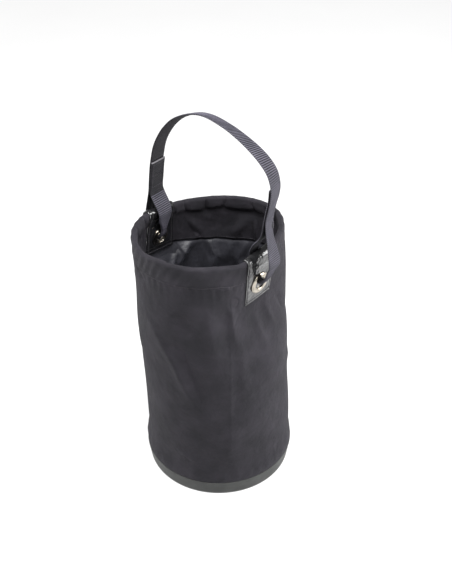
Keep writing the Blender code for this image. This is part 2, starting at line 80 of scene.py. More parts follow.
PATCH_ANGLES = {"left": math.pi, "right": math.radians(-2.5)}
PATCH_HALF_ANGLE = math.radians(16.0)
PATCH_DROP = 0.0655
PATCH_THICKNESS = 0.0012
PATCH_SLOPE = {"left": 0.008, "right": -0.009}
FACET_HALF_ANGLE = math.radians(15.5)
FACET_FADE_ANGLE = math.radians(24.0)
SLOPE_FADE_ANGLE = math.radians(52.0)
SLOPE_FADE_HEIGHTS = (0.215, 0.306)
PATCH_OVER_HEM = 0.0014
PATCH_OVER_FACING = 0.0006
STITCH_INSET = 0.003
GROMMET_DROP = 0.041
GROMMET_HOLE_RADIUS = 0.008
GROMMET_WALL = 0.0007
GROMMET_FLANGE_RADIUS = 0.0150
GROMMET_FLANGE_HEIGHT = 0.0016
STRAP_WIDTH = 0.0254
STRAP_THICKNESS = 0.0018
FUSED_LENGTH = 0.0016
PLY_PITCH = 0.0007
SEAM_ANGLE = math.radians(126.0)
FLOOR_DROP = 0.0003


# Plain functions of angle, height and length.


def ease(start, end, value):
    """0 before start, 1 after end, and the S curve 3t^2 - 2t^3 between them."""
    t = np.clip((value - start) / (end - start), 0.0, 1.0)
    return t * t * (3.0 - 2.0 * t)


def bell(value, width):
    """exp(-(value / width)^2): 1 at 0, nearly nothing past two widths."""
    return np.exp(-np.square(value / width))


def turn_from(angle, theta):
    """How far theta is round from angle, between -pi and pi."""
    return (theta - angle + np.pi) % (2.0 * np.pi) - np.pi


def unit(vectors):
    return vectors / np.linalg.norm(vectors, axis=-1, keepdims=True)


# The bag's own surface, as the frame has it.


def centre_line(z):
    """The tube's middle at height z: straight in the cap, then a slight steady lean."""
    above = z - LEAN_START
    bend = above * above / (2.0 * LEAN_BEND)
    rise = np.where(above < LEAN_BEND, bend, above - LEAN_BEND / 2.0)
    rise = np.where(above < 0.0, 0.0, rise)
    share = rise / (LEAN_FULL - LEAN_START - LEAN_BEND / 2.0)
    return LEAN_AT_RIM[0] * share, LEAN_AT_RIM[1] * share


def body_radius(z):
    """The tube's outer radius below the mouth, where it narrows to fit the drafted cap."""
    draft = (CAP_LIP_RADIUS - CAP_FOOT_RADIUS) * (z / CAP_HEIGHT)
    in_cap = CAP_FOOT_RADIUS + draft - CAP_WALL - FIT_GAP
    return np.where(z < CAP_HEIGHT, np.minimum(in_cap, BODY_RADIUS), BODY_RADIUS)


def mouth_radius(theta):
    """An oval, narrower across the patches, with a flat facet behind each patch."""
    oval = MOUTH_RADIUS - MOUTH_OVAL * np.cos(2.0 * theta)
    radius = oval
    for angle in PATCH_ANGLES.values():
        off = np.abs(turn_from(angle, theta))
        edge = MOUTH_RADIUS - MOUTH_OVAL * math.cos(2.0 * FACET_HALF_ANGLE)
        flat = edge * math.cos(FACET_HALF_ANGLE) / np.cos(np.minimum(off, 1.0))
        radius = np.where(off < FACET_FADE_ANGLE, np.minimum(radius, flat), radius)
    return radius


def roll_height(theta):
    """Height of the roll's middle round the rim: a tilt, a two-crested wave, and a lift over
    one stretch between the patches."""
    tilt = RIM_TILT * np.cos(theta - RIM_TILT_TOWARDS)
    wave = RIM_WAVE * np.cos(2.0 * (theta - RIM_WAVE_CREST))
    lift = RIM_LIFT * ease(*RIM_LIFT_SPAN, np.abs(turn_from(RIM_LIFT_TOWARDS, theta)))
    return ROLL_HEIGHT + tilt + wave + lift


def wall_radius(theta, z):
    """Outer radius of the canvas: the round body blends to the oval mouth, and each patch's
    facet slopes, fading out round the bag and below the patch."""
    mouth = ease(*MOUTH_BLEND, z)
    radius = body_radius(z) + mouth * (mouth_radius(theta) - BODY_RADIUS)
    for side, angle in PATCH_ANGLES.items():
        off = np.abs(turn_from(angle, theta))
        fade = 1.0 - ease(FACET_HALF_ANGLE, SLOPE_FADE_ANGLE, off)
        drop = np.clip((roll_height(angle) - z) / PATCH_DROP, 0.0, 1.0)
        drop = drop * ease(*SLOPE_FADE_HEIGHTS, z)
        radius = radius + PATCH_SLOPE[side] * drop * fade / np.cos(np.minimum(off, 0.3))
    return radius


def at(theta, z, radius):
    """The point at an angle, a height and a distance from the leaning middle line."""
    middle_x, middle_y = centre_line(z)
    x = middle_x + radius * np.cos(theta)
    y = middle_y + radius * np.sin(theta)
    return np.stack(np.broadcast_arrays(x, y, z), axis=-1)


# Folds. A fold's route is a list of (degrees round, metres up).


def fold(theta, z, route, width, height, sharp=0.0):
    """One fold in the cloth: its height times a bell (or, for the sharp share, a pointed
    exp(-d)) of the distance d from the route, fading as a half sine along the route."""
    route = np.array(route)
    first = math.radians(route[0, 0])
    u = turn_from(first, theta) * BODY_RADIUS
    route_u = turn_from(first, np.radians(route[:, 0])) * BODY_RADIUS
    route_z = route[:, 1]
    steps = np.hypot(np.diff(route_u), np.diff(route_z))
    run = np.concatenate([[0.0], np.cumsum(steps)])
    nearest = np.full(np.broadcast(theta, z).shape, np.inf)
    progress = np.zeros_like(nearest)
    for k, step in enumerate(steps):
        du, dz = route_u[k + 1] - route_u[k], route_z[k + 1] - route_z[k]
        share = np.clip(((u - route_u[k]) * du + (z - route_z[k]) * dz) / step**2, 0.0, 1.0)
        distance = np.hypot(u - route_u[k] - share * du, z - route_z[k] - share * dz)
        progress = np.where(distance < nearest, (run[k] + share * step) / run[-1], progress)
        nearest = np.minimum(nearest, distance)
    across = (1.0 - sharp) * bell(nearest, width) + sharp * np.exp(-1.5 * nearest / width)
    return height * np.sin(np.pi * (0.05 + 0.9 * progress)) * across


# Folds of the canvas wall that can be told apart: route, width, height, sharp share.
WALL_FOLDS = [
    ([(-99, 0.288), (-80, 0.233), (-62, 0.154)], 0.009, 0.0046, 0.3),
    ([(-91, 0.262), (-72, 0.245), (-59, 0.166)], 0.008, -0.0044, 0.2),
    ([(-76, 0.312), (-70, 0.296), (-64, 0.278)], 0.012, -0.0045, 0.1),
    ([(-53, 0.327), (-49, 0.285), (-49, 0.240)], 0.012, 0.0033, 0.1),
    ([(-38, 0.326), (-33, 0.314), (-31, 0.262)], 0.006, 0.0036, 0.4),
    ([(-31, 0.327), (-29, 0.313)], 0.006, -0.0054, 0.2),
    ([(-42, 0.318), (-34, 0.241), (-35, 0.165), (-47, 0.090)], 0.013, -0.0030, 0.0),
    ([(-30, 0.290), (-26, 0.178)], 0.010, 0.0024, 0.1),
    ([(-11, 0.303), (0, 0.229)], 0.008, 0.0023, 0.2),
    ([(-34, 0.300), (-37, 0.200), (-40, 0.075)], 0.016, 0.0042, 0.6),
    ([(-85, 0.073), (-67, 0.058)], 0.004, 0.0019, 0.4),
    ([(-126, 0.243), (-120, 0.218)], 0.005, -0.0027, 0.3),
    ([(-40, 0.343), (-24, 0.360)], 0.004, 0.0019, 0.3),
    ([(-121, 0.371), (-104, 0.363), (-88, 0.356)], 0.004, -0.0016, 0.4),
    ([(-118, 0.354), (-98, 0.336)], 0.005, -0.0019, 0.3),
    ([(-18, 0.300), (-33, 0.284)], 0.005, -0.0021, 0.3),
    ([(14, 0.303), (27, 0.286), (33, 0.262)], 0.006, -0.0027, 0.3),
    ([(6, 0.298), (12, 0.262)], 0.005, 0.0019, 0.3),
    ([(163, 0.300), (149, 0.281)], 0.005, -0.0024, 0.3),
    ([(197, 0.298), (212, 0.276)], 0.006, -0.0027, 0.3),
]

# Folds of the lining just under the facing, at the back of the mouth.
LINING_FOLDS = [
    ([(146, 0.304), (154, 0.290), (166, 0.262)], 0.0062, 0.0080, 0.2),
    ([(158, 0.298), (169, 0.275), (174, 0.240)], 0.0058, 0.0070, 0.2),
    ([(133, 0.300), (127, 0.277), (134, 0.240)], 0.0060, 0.0060, 0.2),
    ([(99, 0.304), (107, 0.276), (102, 0.240)], 0.0062, 0.0075, 0.2),
    ([(112, 0.300), (121, 0.262)], 0.0090, 0.0035, 0.0),
    ([(88, 0.300), (80, 0.270), (86, 0.230)], 0.0070, 0.0065, 0.2),
    ([(120, 0.250), (138, 0.225), (150, 0.215)], 0.0080, 0.0065, 0.2),
]
FACING_FOLDS = [
    ([(160, 0.345), (148, 0.318)], 0.0065, -0.0040, 0.1),
    ([(150, 0.340), (138, 0.312)], 0.0060, 0.0043, 0.1),
    ([(108, 0.345), (122, 0.318)], 0.0065, -0.0036, 0.1),
    ([(99, 0.338), (113, 0.312)], 0.0060, 0.0036, 0.1),
    ([(91, 0.350), (91, 0.308)], 0.0026, 0.0047, 0.5),
    ([(140, 0.349), (128, 0.332)], 0.0055, 0.0030, 0.2),
    ([(126, 0.346), (130, 0.316)], 0.0050, -0.0028, 0.2),
    ([(84, 0.349), (77, 0.322)], 0.0060, 0.0030, 0.2),
    ([(70, 0.346), (62, 0.316)], 0.0055, -0.0030, 0.2),
]


def scattered_folds(seed, count, degrees, heights, widths, rises, slant):
    """Folds strewn over a stretch of wall: straight routes with random places, lengths of 25
    to 75 mm, and a random slant about the upright."""
    draw = np.random.default_rng(seed)
    folds = []
    for _ in range(count):
        angle, z = draw.uniform(*degrees), draw.uniform(*heights)
        half = draw.uniform(0.0125, 0.0375)
        lean = draw.uniform(-slant, slant)
        across = math.degrees(half * math.sin(lean) / BODY_RADIUS)
        up = half * math.cos(lean)
        rise = draw.uniform(*rises) * draw.choice([-1.0, 1.0])
        route = [(angle - across, z - up), (angle + across, z + up)]
        folds.append((route, draw.uniform(*widths), rise, draw.uniform(0.0, 0.4)))
    return folds


BACK_FOLDS = scattered_folds(4, 26, (28, 236), (0.07, 0.33), (0.006, 0.014), (0.0008, 0.0022), 1.2)
CRUMPLES = scattered_folds(9, 120, (0, 360), (0.02, 0.285), (0.0035, 0.0085), (0.002, 0.0055), 1.0)


def patch_guard(theta, z, below):
    """0 under a patch and its grommet, rising to 1 round them."""
    guard = np.ones(np.broadcast(theta, z).shape)
    for angle in PATCH_ANGLES.values():
        off = np.abs(turn_from(angle, theta))
        beside = ease(PATCH_HALF_ANGLE + 0.02, PATCH_HALF_ANGLE + 0.12, off)
        under = ease(PATCH_DROP + 0.003, PATCH_DROP + below, roll_height(angle) - z)
        guard = guard * np.maximum(beside, under)
    return guard


def side_seam(theta, z):
    """The felled back seam: a flat ridge 9 mm wide and 0.5 mm high."""
    off = np.abs(turn_from(SEAM_ANGLE, theta)) * BODY_RADIUS
    return 0.0005 * (1.0 - ease(0.0040, 0.0052, off)) * ease(CAP_HEIGHT, CAP_HEIGHT + 0.004, z)


def relief(theta, z):
    """How far the canvas stands out from the smooth wall: broad waves, the folds, the puckers
    under the hem and over the cap, the groove of the hem stitching and the back seam."""
    depth = roll_height(theta) - z
    round_it = theta * BODY_RADIUS
    waves = 0.0009 * np.sin(2.0 * theta + 21.0 * z + 0.4)
    waves = waves + 0.0007 * np.sin(5.0 * theta - 34.0 * z + 1.9)
    waves = waves + 0.0004 * np.sin(9.0 * theta + 47.0 * z + 4.0)
    for route, width, height, sharp in WALL_FOLDS + BACK_FOLDS:
        waves = waves + fold(theta, z, route, width, height, sharp)
    waves = waves * (1.0 - 0.72 * ease(HEM_DEPTH + 0.004, HEM_DEPTH - 0.006, depth))
    waves = waves * ease(CAP_HEIGHT + 0.001, CAP_HEIGHT + 0.016, z)
    under_hem = np.clip(depth - HEM_DEPTH, 0.0, None)
    pucker = 0.0005 * np.sin(round_it / 0.0016 + 1.7 * np.sin(5.0 * theta))
    pucker = pucker * ease(0.0, 0.003, under_hem) * np.exp(-under_hem / 0.011)
    over_cap = np.clip(z - CAP_HEIGHT, 0.0, None)
    gather = 0.0006 * np.sin(round_it / 0.0031 + 2.3 * np.sin(3.0 * theta + 1.0))
    gather = gather * ease(0.002, 0.009, over_cap) * np.exp(-over_cap / 0.020)
    groove = -0.0005 * bell(depth - HEM_DEPTH, 0.0014)
    ripple = 0.0004 * np.sin(round_it / 0.0024 + 2.0 * np.sin(4.0 * theta) + 260.0 * depth)
    groove = groove + ripple * ease(HEM_DEPTH, HEM_DEPTH - 0.008, depth)
    guarded = (waves + pucker + groove) * patch_guard(theta, z, 0.016)
    return guarded + gather + side_seam(theta, z)


def lip_swell(z):
    """The canvas sits out over the cap's lip, flush with it, and draws in above it."""
    out = CAP_LIP_RADIUS - BODY_RADIUS - 0.0002
    over = ease(CAP_HEIGHT + 0.0002, CAP_HEIGHT + 0.0010, z)
    return out * over * (1.0 - ease(CAP_HEIGHT + 0.003, CAP_HEIGHT + 0.034, z))


def outer(theta, z, offset=0.0):
    """A point offset out from the canvas's outside, folds and all."""
    radius = wall_radius(theta, z) + lip_swell(z) + relief(theta, z)
    return at(theta, z, radius + offset)


# The rolled hem and the facing inside the mouth.
TUCK_DEGREES = (24, 41, 63, 79, 95, 116.7, 133.5, 153, 204, 222, 243, 259, 281, 300, 318, 334)


def tuck(theta, depth=0.0):
    """1 in the pinch of each tuck of the rolled hem, and nothing between them. A tuck slants
    and widens as it goes down."""
    pinch = np.zeros_like(theta)
    for number, degrees in enumerate(TUCK_DEGREES):
        slant = (-0.45, 0.35, 0.1, -0.2)[number % 4]
        off = turn_from(math.radians(degrees), theta) * BODY_RADIUS - slant * depth
        width = 0.0018 + 0.10 * depth
        pinch = np.maximum(pinch, (1.0, 0.6, 0.85)[number % 3] * np.exp(-np.abs(off) / width))
    return pinch


def inner_guard(theta):
    """0 behind the patches, 1 elsewhere."""
    guard = np.ones_like(theta)
    for angle in PATCH_ANGLES.values():
        off = np.abs(turn_from(angle, theta))
        guard = guard * ease(PATCH_HALF_ANGLE + 0.01, PATCH_HALF_ANGLE + 0.07, off)
    return guard


def roll_pinch(theta, turn):
    """How much a tuck draws the roll in: nothing outside, growing over the crest."""
    return 0.0016 * tuck(theta) * inner_guard(theta) * ease(0.35 * math.pi, math.pi, turn)


def over_roll(theta, turn, radius):
    """A point round the roll: turn 0 is outside, a quarter turn is the crest, pi is inside."""
    middle = roll_height(theta)
    hub = wall_radius(theta, middle) - ROLL_RADIUS
    held = ease(math.pi / 2.0, 0.0, turn) if turn < math.pi / 2.0 else 0.0
    radius = radius - roll_pinch(theta, turn) + relief(theta, middle) * held
    return at(theta, middle + radius * math.sin(turn), hub + radius * math.cos(turn))


def hem_bulge(theta, depth):
    """How far the hem's inner face stands in from the facing below it: the roll's thickness
    and some fullness between tucks, closing at the hem's lower edge."""
    guard = inner_guard(theta)
    pinch = tuck(theta, depth) * guard
    edge = 0.0190 - 0.0030 * pinch + 0.0012 * np.sin(11.0 * theta)
    edge = np.where(guard > 0.5, edge, HEM_DEPTH)
    soft = np.where(guard > 0.5, 0.0090, HEM_DEPTH)
    below_crest = ease(0.0, 0.006, depth)
    fullness = 0.0006 * guard * (1.0 - pinch) * below_crest
    pull = 0.0030 * pinch * (0.5 + 0.5 * below_crest)
    whole = 2.0 * ROLL_RADIUS - FACING_STACK + fullness - pull
    return whole * (1.0 - ease(edge - soft, edge, depth))


def sag(theta, z):
    """How far the facing and the lining hang in from the wall: broad fullness growing with
    depth, and their folds. Nothing behind the patches."""
    depth = roll_height(theta) - z
    fullness = 0.0030 + 0.0016 * np.sin(4.0 * theta + 0.6) + 0.0010 * np.sin(7.0 * theta + 40.0 * z)
    total = fullness * ease(HEM_DEPTH - 0.012, 0.090, depth)
    on_facing = 1.0 - ease(FACING_DEPTH - 0.008, FACING_DEPTH + 0.006, depth)
    on_lining = ease(FACING_DEPTH - 0.006, FACING_DEPTH + 0.008, depth)
    in_facing = ease(HEM_DEPTH - 0.006, HEM_DEPTH + 0.010, depth) * on_facing
    for route, width, height, sharp in FACING_FOLDS:
        total = total + in_facing * fold(theta, z, route, width, height, sharp)
    for route, width, height, sharp in LINING_FOLDS + CRUMPLES:
        total = total + on_lining * fold(theta, z, route, width, height, sharp)
    total = total * patch_guard(theta, z, 0.020) * ease(0.012, 0.040, z)
    return np.maximum(total, 0.0)


def facing(theta, depth, offset=0.0):
    """A point offset in from the inner face of the hem and its facing."""
    z = roll_height(theta) - depth
    stack = FACING_STACK + hem_bulge(theta, depth) + sag(theta, z)
    wall = wall_radius(theta, z) + relief(theta, z) * ease(0.008, 0.030, depth)
    return at(theta, z, wall - stack - offset)


# Meshes. A grid's rows run one way and its columns the other.


def arc_lengths(grid, axis, closed):
    """Mean length along a grid's axis up to each of its lines, which makes a true-size UV."""
    nexts = np.roll(grid, -1, axis=axis)
    steps = np.linalg.norm(nexts - grid, axis=-1).mean(axis=1 - axis)
    steps = steps if closed else steps[:-1]
    return np.concatenate([[0.0], np.cumsum(steps)])


def grid_mesh(name, grid, material, round_rows=False, round_columns=False, ends="open", run=None):
    """A surface through grid[row, column], its UV in true metres. Round rows join last row to
    first. ends is "open", "poles" (each end row closes on its middle) or "pairs" (each end
    row, a flat loop, closes across from one side to the other)."""
    rows, columns = grid.shape[:2]
    points = grid.reshape(-1, 3)
    index = np.arange(rows * columns).reshape(rows, columns)
    v = arc_lengths(grid, 0, round_rows) if run is None else run
    u = arc_lengths(grid, 1, round_columns)
    index = np.vstack([index, index[:1]]) if round_rows else index
    index = np.hstack([index, index[:, :1]]) if round_columns else index
    corners = [(0, 0), (0, 1), (1, 1), (1, 0)]
    tall, wide = index.shape[0] - 1, index.shape[1] - 1
    quads = np.stack([index[i : i + tall, j : j + wide] for i, j in corners], axis=-1)
    uv_u, uv_v = np.meshgrid(u, v)
    uv = np.stack([uv_u, uv_v], axis=-1)
    uvs = np.stack([uv[i : i + tall, j : j + wide] for i, j in corners], axis=2).reshape(-1, 2)
    faces = quads.reshape(-1, 4).tolist()
    extra = []
    if ends == "poles":
        for row, middle, order in ((0, len(points), -1), (rows - 1, len(points) + 1, 1)):
            ring = index[row][::order]
            fan = [[int(a), int(b), middle] for a, b in zip(ring[:-1], ring[1:])]
            faces += fan
            extra += [(0.0, v[row])] * (3 * len(fan))
        points = np.vstack([points, grid[0].mean(axis=0), grid[-1].mean(axis=0)])
    if ends == "pairs":
        for row, order in ((0, -1), (rows - 1, 1)):
            loop = [row * columns + k for k in range(columns)]
            for k in range(columns // 2 - 1):
                far = columns - 1 - k
                faces.append([loop[k], loop[k + 1], loop[far - 1], loop[far]][::order])
                extra += [(u[k], v[row])] * 4
    mesh = bpy.data.meshes.new(name)
    mesh.from_pydata(points.tolist(), [], faces)
    layer = mesh.uv_layers.new(name="true_size")
    all_uvs = np.vstack([uvs, np.array(extra)]) if extra else uvs
    layer.data.foreach_set("uv", all_uvs.astype(np.float32).ravel())
    mesh.materials.append(material)
    mesh.shade_smooth()
    mesh.update()
    obj = bpy.data.objects.new(name, mesh)
    bpy.context.scene.collection.objects.link(obj)
    return obj


def flip(obj):
    """Turns every face of a closed mesh the other way."""
    obj.data.flip_normals()
    return obj


def face_outward(obj):
    """Faces point out of the closed shell: the sign of its volume, the sum of a.(b x c) over
    its triangles, says whether they already do."""
    mesh = obj.data
    mesh.calc_loop_triangles()
    points = np.empty(len(mesh.vertices) * 3)
    mesh.vertices.foreach_get("co", points)
    faces = np.empty(len(mesh.loop_triangles) * 3, np.int64)
    mesh.loop_triangles.foreach_get("vertices", faces)
    a, b, c = points.reshape(-1, 3)[faces.reshape(-1, 3)].transpose(1, 0, 2)
    if (a * np.cross(b, c)).sum() < 0.0:
        flip(obj)
    return obj


def fitted(piece, body, slot, *nodes):
    """A finished piece: outward faces, its body and the solids it is for; its slot is not used."""
    face_outward(piece)
    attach(piece, body)
    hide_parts(*nodes)
    return piece


# Materials.


def srgb(code, alpha=1.0):
    """An sRGB hex colour as linear numbers."""
    parts = [int(code[i : i + 2], 16) / 255.0 for i in (1, 3, 5)]
    linear = [c / 12.92 if c <= 0.04045 else ((c + 0.055) / 1.055) ** 2.4 for c in parts]
    return (*linear, alpha)


def add_node(tree, kind, inputs=None, **settings):
    """One shader node, with its settings, its sockets' values and the links into them."""
    node = tree.nodes.new("ShaderNode" + kind)
    for key, value in settings.items():
        setattr(node, key, value)
    for key, value in (inputs or {}).items():
        socket = node.inputs[key]
        if isinstance(value, bpy.types.NodeSocket):
            tree.links.new(value, socket)
        else:
            socket.default_value = value
    return node


def new_material(name, **shader_values):
    """A material with one Principled shader, and its node tree and shader."""
    material = bpy.data.materials.new(name)
    material.use_nodes = True
    tree = material.node_tree
    shader = tree.nodes["Principled BSDF"]
    for key, value in shader_values.items():
        shader.inputs[key.replace("_", " ")].default_value = value
    return material, tree, shader


def mottled(tree, coordinates, dark, light, grain):
    """Base colour that drifts between two near shades over grain metres, with finer specks."""
    broad = add_node(tree, "TexNoise", {"Vector": coordinates, "Scale": 1.0 / grain, "Detail": 5.0})
    ramp = add_node(tree, "ValToRGB", {"Fac": broad.outputs["Fac"]})
    ramp.color_ramp.elements[0].position, ramp.color_ramp.elements[1].position = 0.36, 0.64
    ramp.color_ramp.elements[0].color, ramp.color_ramp.elements[1].color = srgb(dark), srgb(light)
    return ramp.outputs["Color"]


def plain_weave(tree, uv, warp_pitch, weft_pitch):
    """Height of a plain weave: sin(pi u / p) sin(pi v / q), one thread over and one under."""
    parts = add_node(tree, "SeparateXYZ", {"Vector": uv})
    waves = []
    for axis, pitch in (("X", warp_pitch), ("Y", weft_pitch)):
        angle = add_node(tree, "Math", {0: parts.outputs[axis], 1: math.pi / pitch}, operation="MULTIPLY")
        waves.append(add_node(tree, "Math", {0: angle.outputs[0]}, operation="SINE"))
    both = {0: waves[0].outputs[0], 1: waves[1].outputs[0]}
    return add_node(tree, "Math", both, operation="MULTIPLY").outputs[0]


def bump(tree, shader, height, distance, strength=1.0, below=None):
    """Bump of a real height, on top of another bump if there is one."""
    inputs = {"Height": height, "Distance": distance, "Strength": strength}
    if below is not None:
        inputs["Normal"] = below
    made = add_node(tree, "Bump", inputs)
    tree.links.new(made.outputs["Normal"], shader.inputs["Normal"])
    return made.outputs["Normal"]


def woven_canvas():
    """Heavy plain-woven polyester canvas: matt, near black with a cast of violet, and paler at
    a grazing look, where its raised fibres catch light. Threads every 1.1 mm, coarser than the
    real 0.5 mm so that they show."""
    material, tree, shader = new_material(
        "woven black polyester canvas",
        Roughness=0.8,
        IOR=1.5,
        Specular_IOR_Level=0.14,
        Sheen_Weight=0.05,
        Sheen_Roughness=0.4,
    )
    shader.inputs["Sheen Tint"].default_value = srgb("#d8d4de")
    place = add_node(tree, "TexCoord")
    colour = mottled(tree, place.outputs["Object"], "#1f1e22", "#29272c", 0.035)
    tree.links.new(colour, shader.inputs["Base Color"])
    weave = plain_weave(tree, place.outputs["UV"], 0.0011, 0.0011)
    crease = add_node(tree, "TexNoise", {"Vector": place.outputs["Object"], "Scale": 90.0, "Detail": 6.0})
    soft = bump(tree, shader, crease.outputs["Fac"], 0.0032, 0.6)
    bump(tree, shader, weave, 0.0003, 0.8, soft)
    return material


def coated_nylon():
    """Thin ripstop nylon with a coated back: smoother and bluer than the canvas, with a soft
    sheen on its folds and a faint grid of thicker threads every 5 mm."""
    material, tree, shader = new_material(
        "coated nylon lining",
        Roughness=0.5,
        IOR=1.5,
        Specular_IOR_Level=0.5,
        Sheen_Weight=0.1,
        Sheen_Roughness=0.4,
    )
    shader.inputs["Sheen Tint"].default_value = srgb("#d0d4e6")
    place = add_node(tree, "TexCoord")
    colour = mottled(tree, place.outputs["Object"], "#25252a", "#323238", 0.03)
    tree.links.new(colour, shader.inputs["Base Color"])
    crinkle = add_node(tree, "TexNoise", {"Vector": place.outputs["Object"], "Scale": 140.0, "Detail": 5.0})
    soft = bump(tree, shader, crinkle.outputs["Fac"], 0.0018, 0.6)
    parts = add_node(tree, "SeparateXYZ", {"Vector": place.outputs["UV"]})
    lines = []
    for axis in ("X", "Y"):
        cell = add_node(tree, "Math", {0: parts.outputs[axis], 1: 0.005}, operation="PINGPONG")
        near = add_node(tree, "Math", {0: cell.outputs[0], 1: 0.0003}, operation="LESS_THAN")
        lines.append(near.outputs[0])
    either = add_node(tree, "Math", {0: lines[0], 1: lines[1]}, operation="MAXIMUM")
    bump(tree, shader, either.outputs[0], 0.0001, 0.5, soft)
    return material


def ribbed_webbing():
    """Polyamide webbing, 1 inch wide: dark grey with a blue cast. Its face is ribbed, with
    painted shade in the grooves; its back is plain and painted darker as shade, and so is the
    first end along the lap's length, save the slightly paler bead where the cut was fused."""
    material, tree, shader = new_material(
        "ribbed polyamide webbing",
        Roughness=0.65,
        IOR=1.53,
        Specular_IOR_Level=0.16,
        Sheen_Weight=0.02,
        Sheen_Roughness=0.4,
    )
    place = add_node(tree, "TexCoord")
    colour = mottled(tree, place.outputs["Object"], "#3e3d46", "#4d4b55", 0.02)
    parts = add_node(tree, "SeparateXYZ", {"Vector": place.outputs["UV"]})
    turns = {0: parts.outputs["Y"], 1: 2.0 * math.pi / RIB_PITCH}
    angle = add_node(tree, "Math", turns, operation="MULTIPLY")
    rise = add_node(tree, "Math", {0: angle.outputs[0]}, operation="COSINE")
    # painted shade: the grooves between the ribs are mixed towards near-black, standing in for the shadow
    # in them
    groove = {"Value": rise.outputs[0], "From Min": -0.4, "From Max": 0.6, "To Min": 0.0, "To Max": 1.0}
    share = add_node(tree, "MapRange", groove)
    # painted shade: the back face and the first end along the lap's length are painted darker, standing in
    # for shadow
    back = {0: parts.outputs["X"], 1: STRAP_WIDTH + STRAP_THICKNESS / 2.0}
    painted_shade_back = add_node(tree, "Math", back, operation="GREATER_THAN")
    painted_shade_first_end = add_node(tree, "Math", {0: parts.outputs["Y"], 1: LAP_LENGTH}, operation="LESS_THAN")
    either = {0: painted_shade_back.outputs[0], 1: painted_shade_first_end.outputs[0]}
    dark = add_node(tree, "Math", either, operation="MAXIMUM")
    painted_shade_dimmed = add_node(tree, "Math", {0: dark.outputs[0], 1: 0.9}, operation="MULTIPLY")
    whole = {0: share.outputs["Result"], 1: painted_shade_dimmed.outputs[0]}
    painted_shade_factor = add_node(tree, "Math", whole, operation="MAXIMUM")
    mixed = add_node(tree, "Mix", {"Factor": painted_shade_factor.outputs[0]}, data_type="RGBA")
    tree.links.new(colour, mixed.inputs[6])
    # painted shade: the near-black colour laid into the grooves, over the back face and along the first end
    mixed.inputs[7].default_value = srgb("#0e0d10")
    cut = add_node(tree, "Math", {0: parts.outputs["Y"], 1: FUSED_LENGTH}, operation="LESS_THAN")
    fused = add_node(tree, "Mix", {"Factor": cut.outputs[0]}, data_type="RGBA")
    tree.links.new(mixed.outputs[2], fused.inputs[6])
    fused.inputs[7].default_value = srgb("#5d5b5f")
    tree.links.new(fused.outputs[2], shader.inputs["Base Color"])
    weave = plain_weave(tree, place.outputs["UV"], 0.0013, 0.00135)
    bump(tree, shader, weave, 0.00015, 0.5)
    return material


def glossy_vinyl():
    """PVC-coated patch fabric: black, polished, with a fine leathery grain that breaks up its
    reflections a little. The clear top layer is the coat, which is matt where the stitching
    draws it down and where it bends over the hem's edge."""
    material, tree, shader = new_material(
        "glossy black coated vinyl",
        IOR=1.5,
        Specular_IOR_Level=0.4,
        Coat_Roughness=0.09,
        Coat_IOR=1.5,
    )
    place = add_node(tree, "TexCoord")
    colour = mottled(tree, place.outputs["Object"], "#121213", "#1b1b1d", 0.012)
    tree.links.new(colour, shader.inputs["Base Color"])
    parts = add_node(tree, "SeparateXYZ", {"Vector": place.outputs["UV"]})
    patch_width = 2.0 * PATCH_HALF_ANGLE * (MOUTH_RADIUS - MOUTH_OVAL)
    patch_run = 2.0 * PATCH_DROP + math.pi * ROLL_RADIUS
    lines = []
    for axis, length, place_of_line in (
        ("X", patch_width, STITCH_INSET),
        ("Y", patch_run, STITCH_INSET),
        ("Y", patch_run, PATCH_DROP - 0.0145),
    ):
        half = {0: parts.outputs[axis], 1: length / 2.0}
        from_edge = add_node(tree, "Math", half, operation="PINGPONG")
        near = {0: from_edge.outputs[0], 1: place_of_line, 2: 0.0007}
        lines.append(add_node(tree, "Math", near, operation="COMPARE").outputs[0])
    matt = lines[0]
    for line in lines[1:]:
        matt = add_node(tree, "Math", {0: matt, 1: line}, operation="MAXIMUM").outputs[0]
    clear = add_node(tree, "MapRange", {"Value": matt, "To Min": 0.8, "To Max": 0.0})
    tree.links.new(clear.outputs["Result"], shader.inputs["Coat Weight"])
    rough = add_node(tree, "MapRange", {"Value": matt, "To Min": 0.25, "To Max": 0.75})
    tree.links.new(rough.outputs["Result"], shader.inputs["Roughness"])
    grain = add_node(tree, "TexVoronoi", {"Vector": place.outputs["Object"], "Scale": 900.0})
    wave = add_node(tree, "TexNoise", {"Vector": place.outputs["Object"], "Scale": 75.0, "Detail": 2.0})
    soft = bump(tree, shader, wave.outputs["Fac"], 0.0034, 0.7)
    bump(tree, shader, grain.outputs["Distance"], 0.00012, 0.35, soft)
    tree.links.new(soft, shader.inputs["Coat Normal"])
    return material


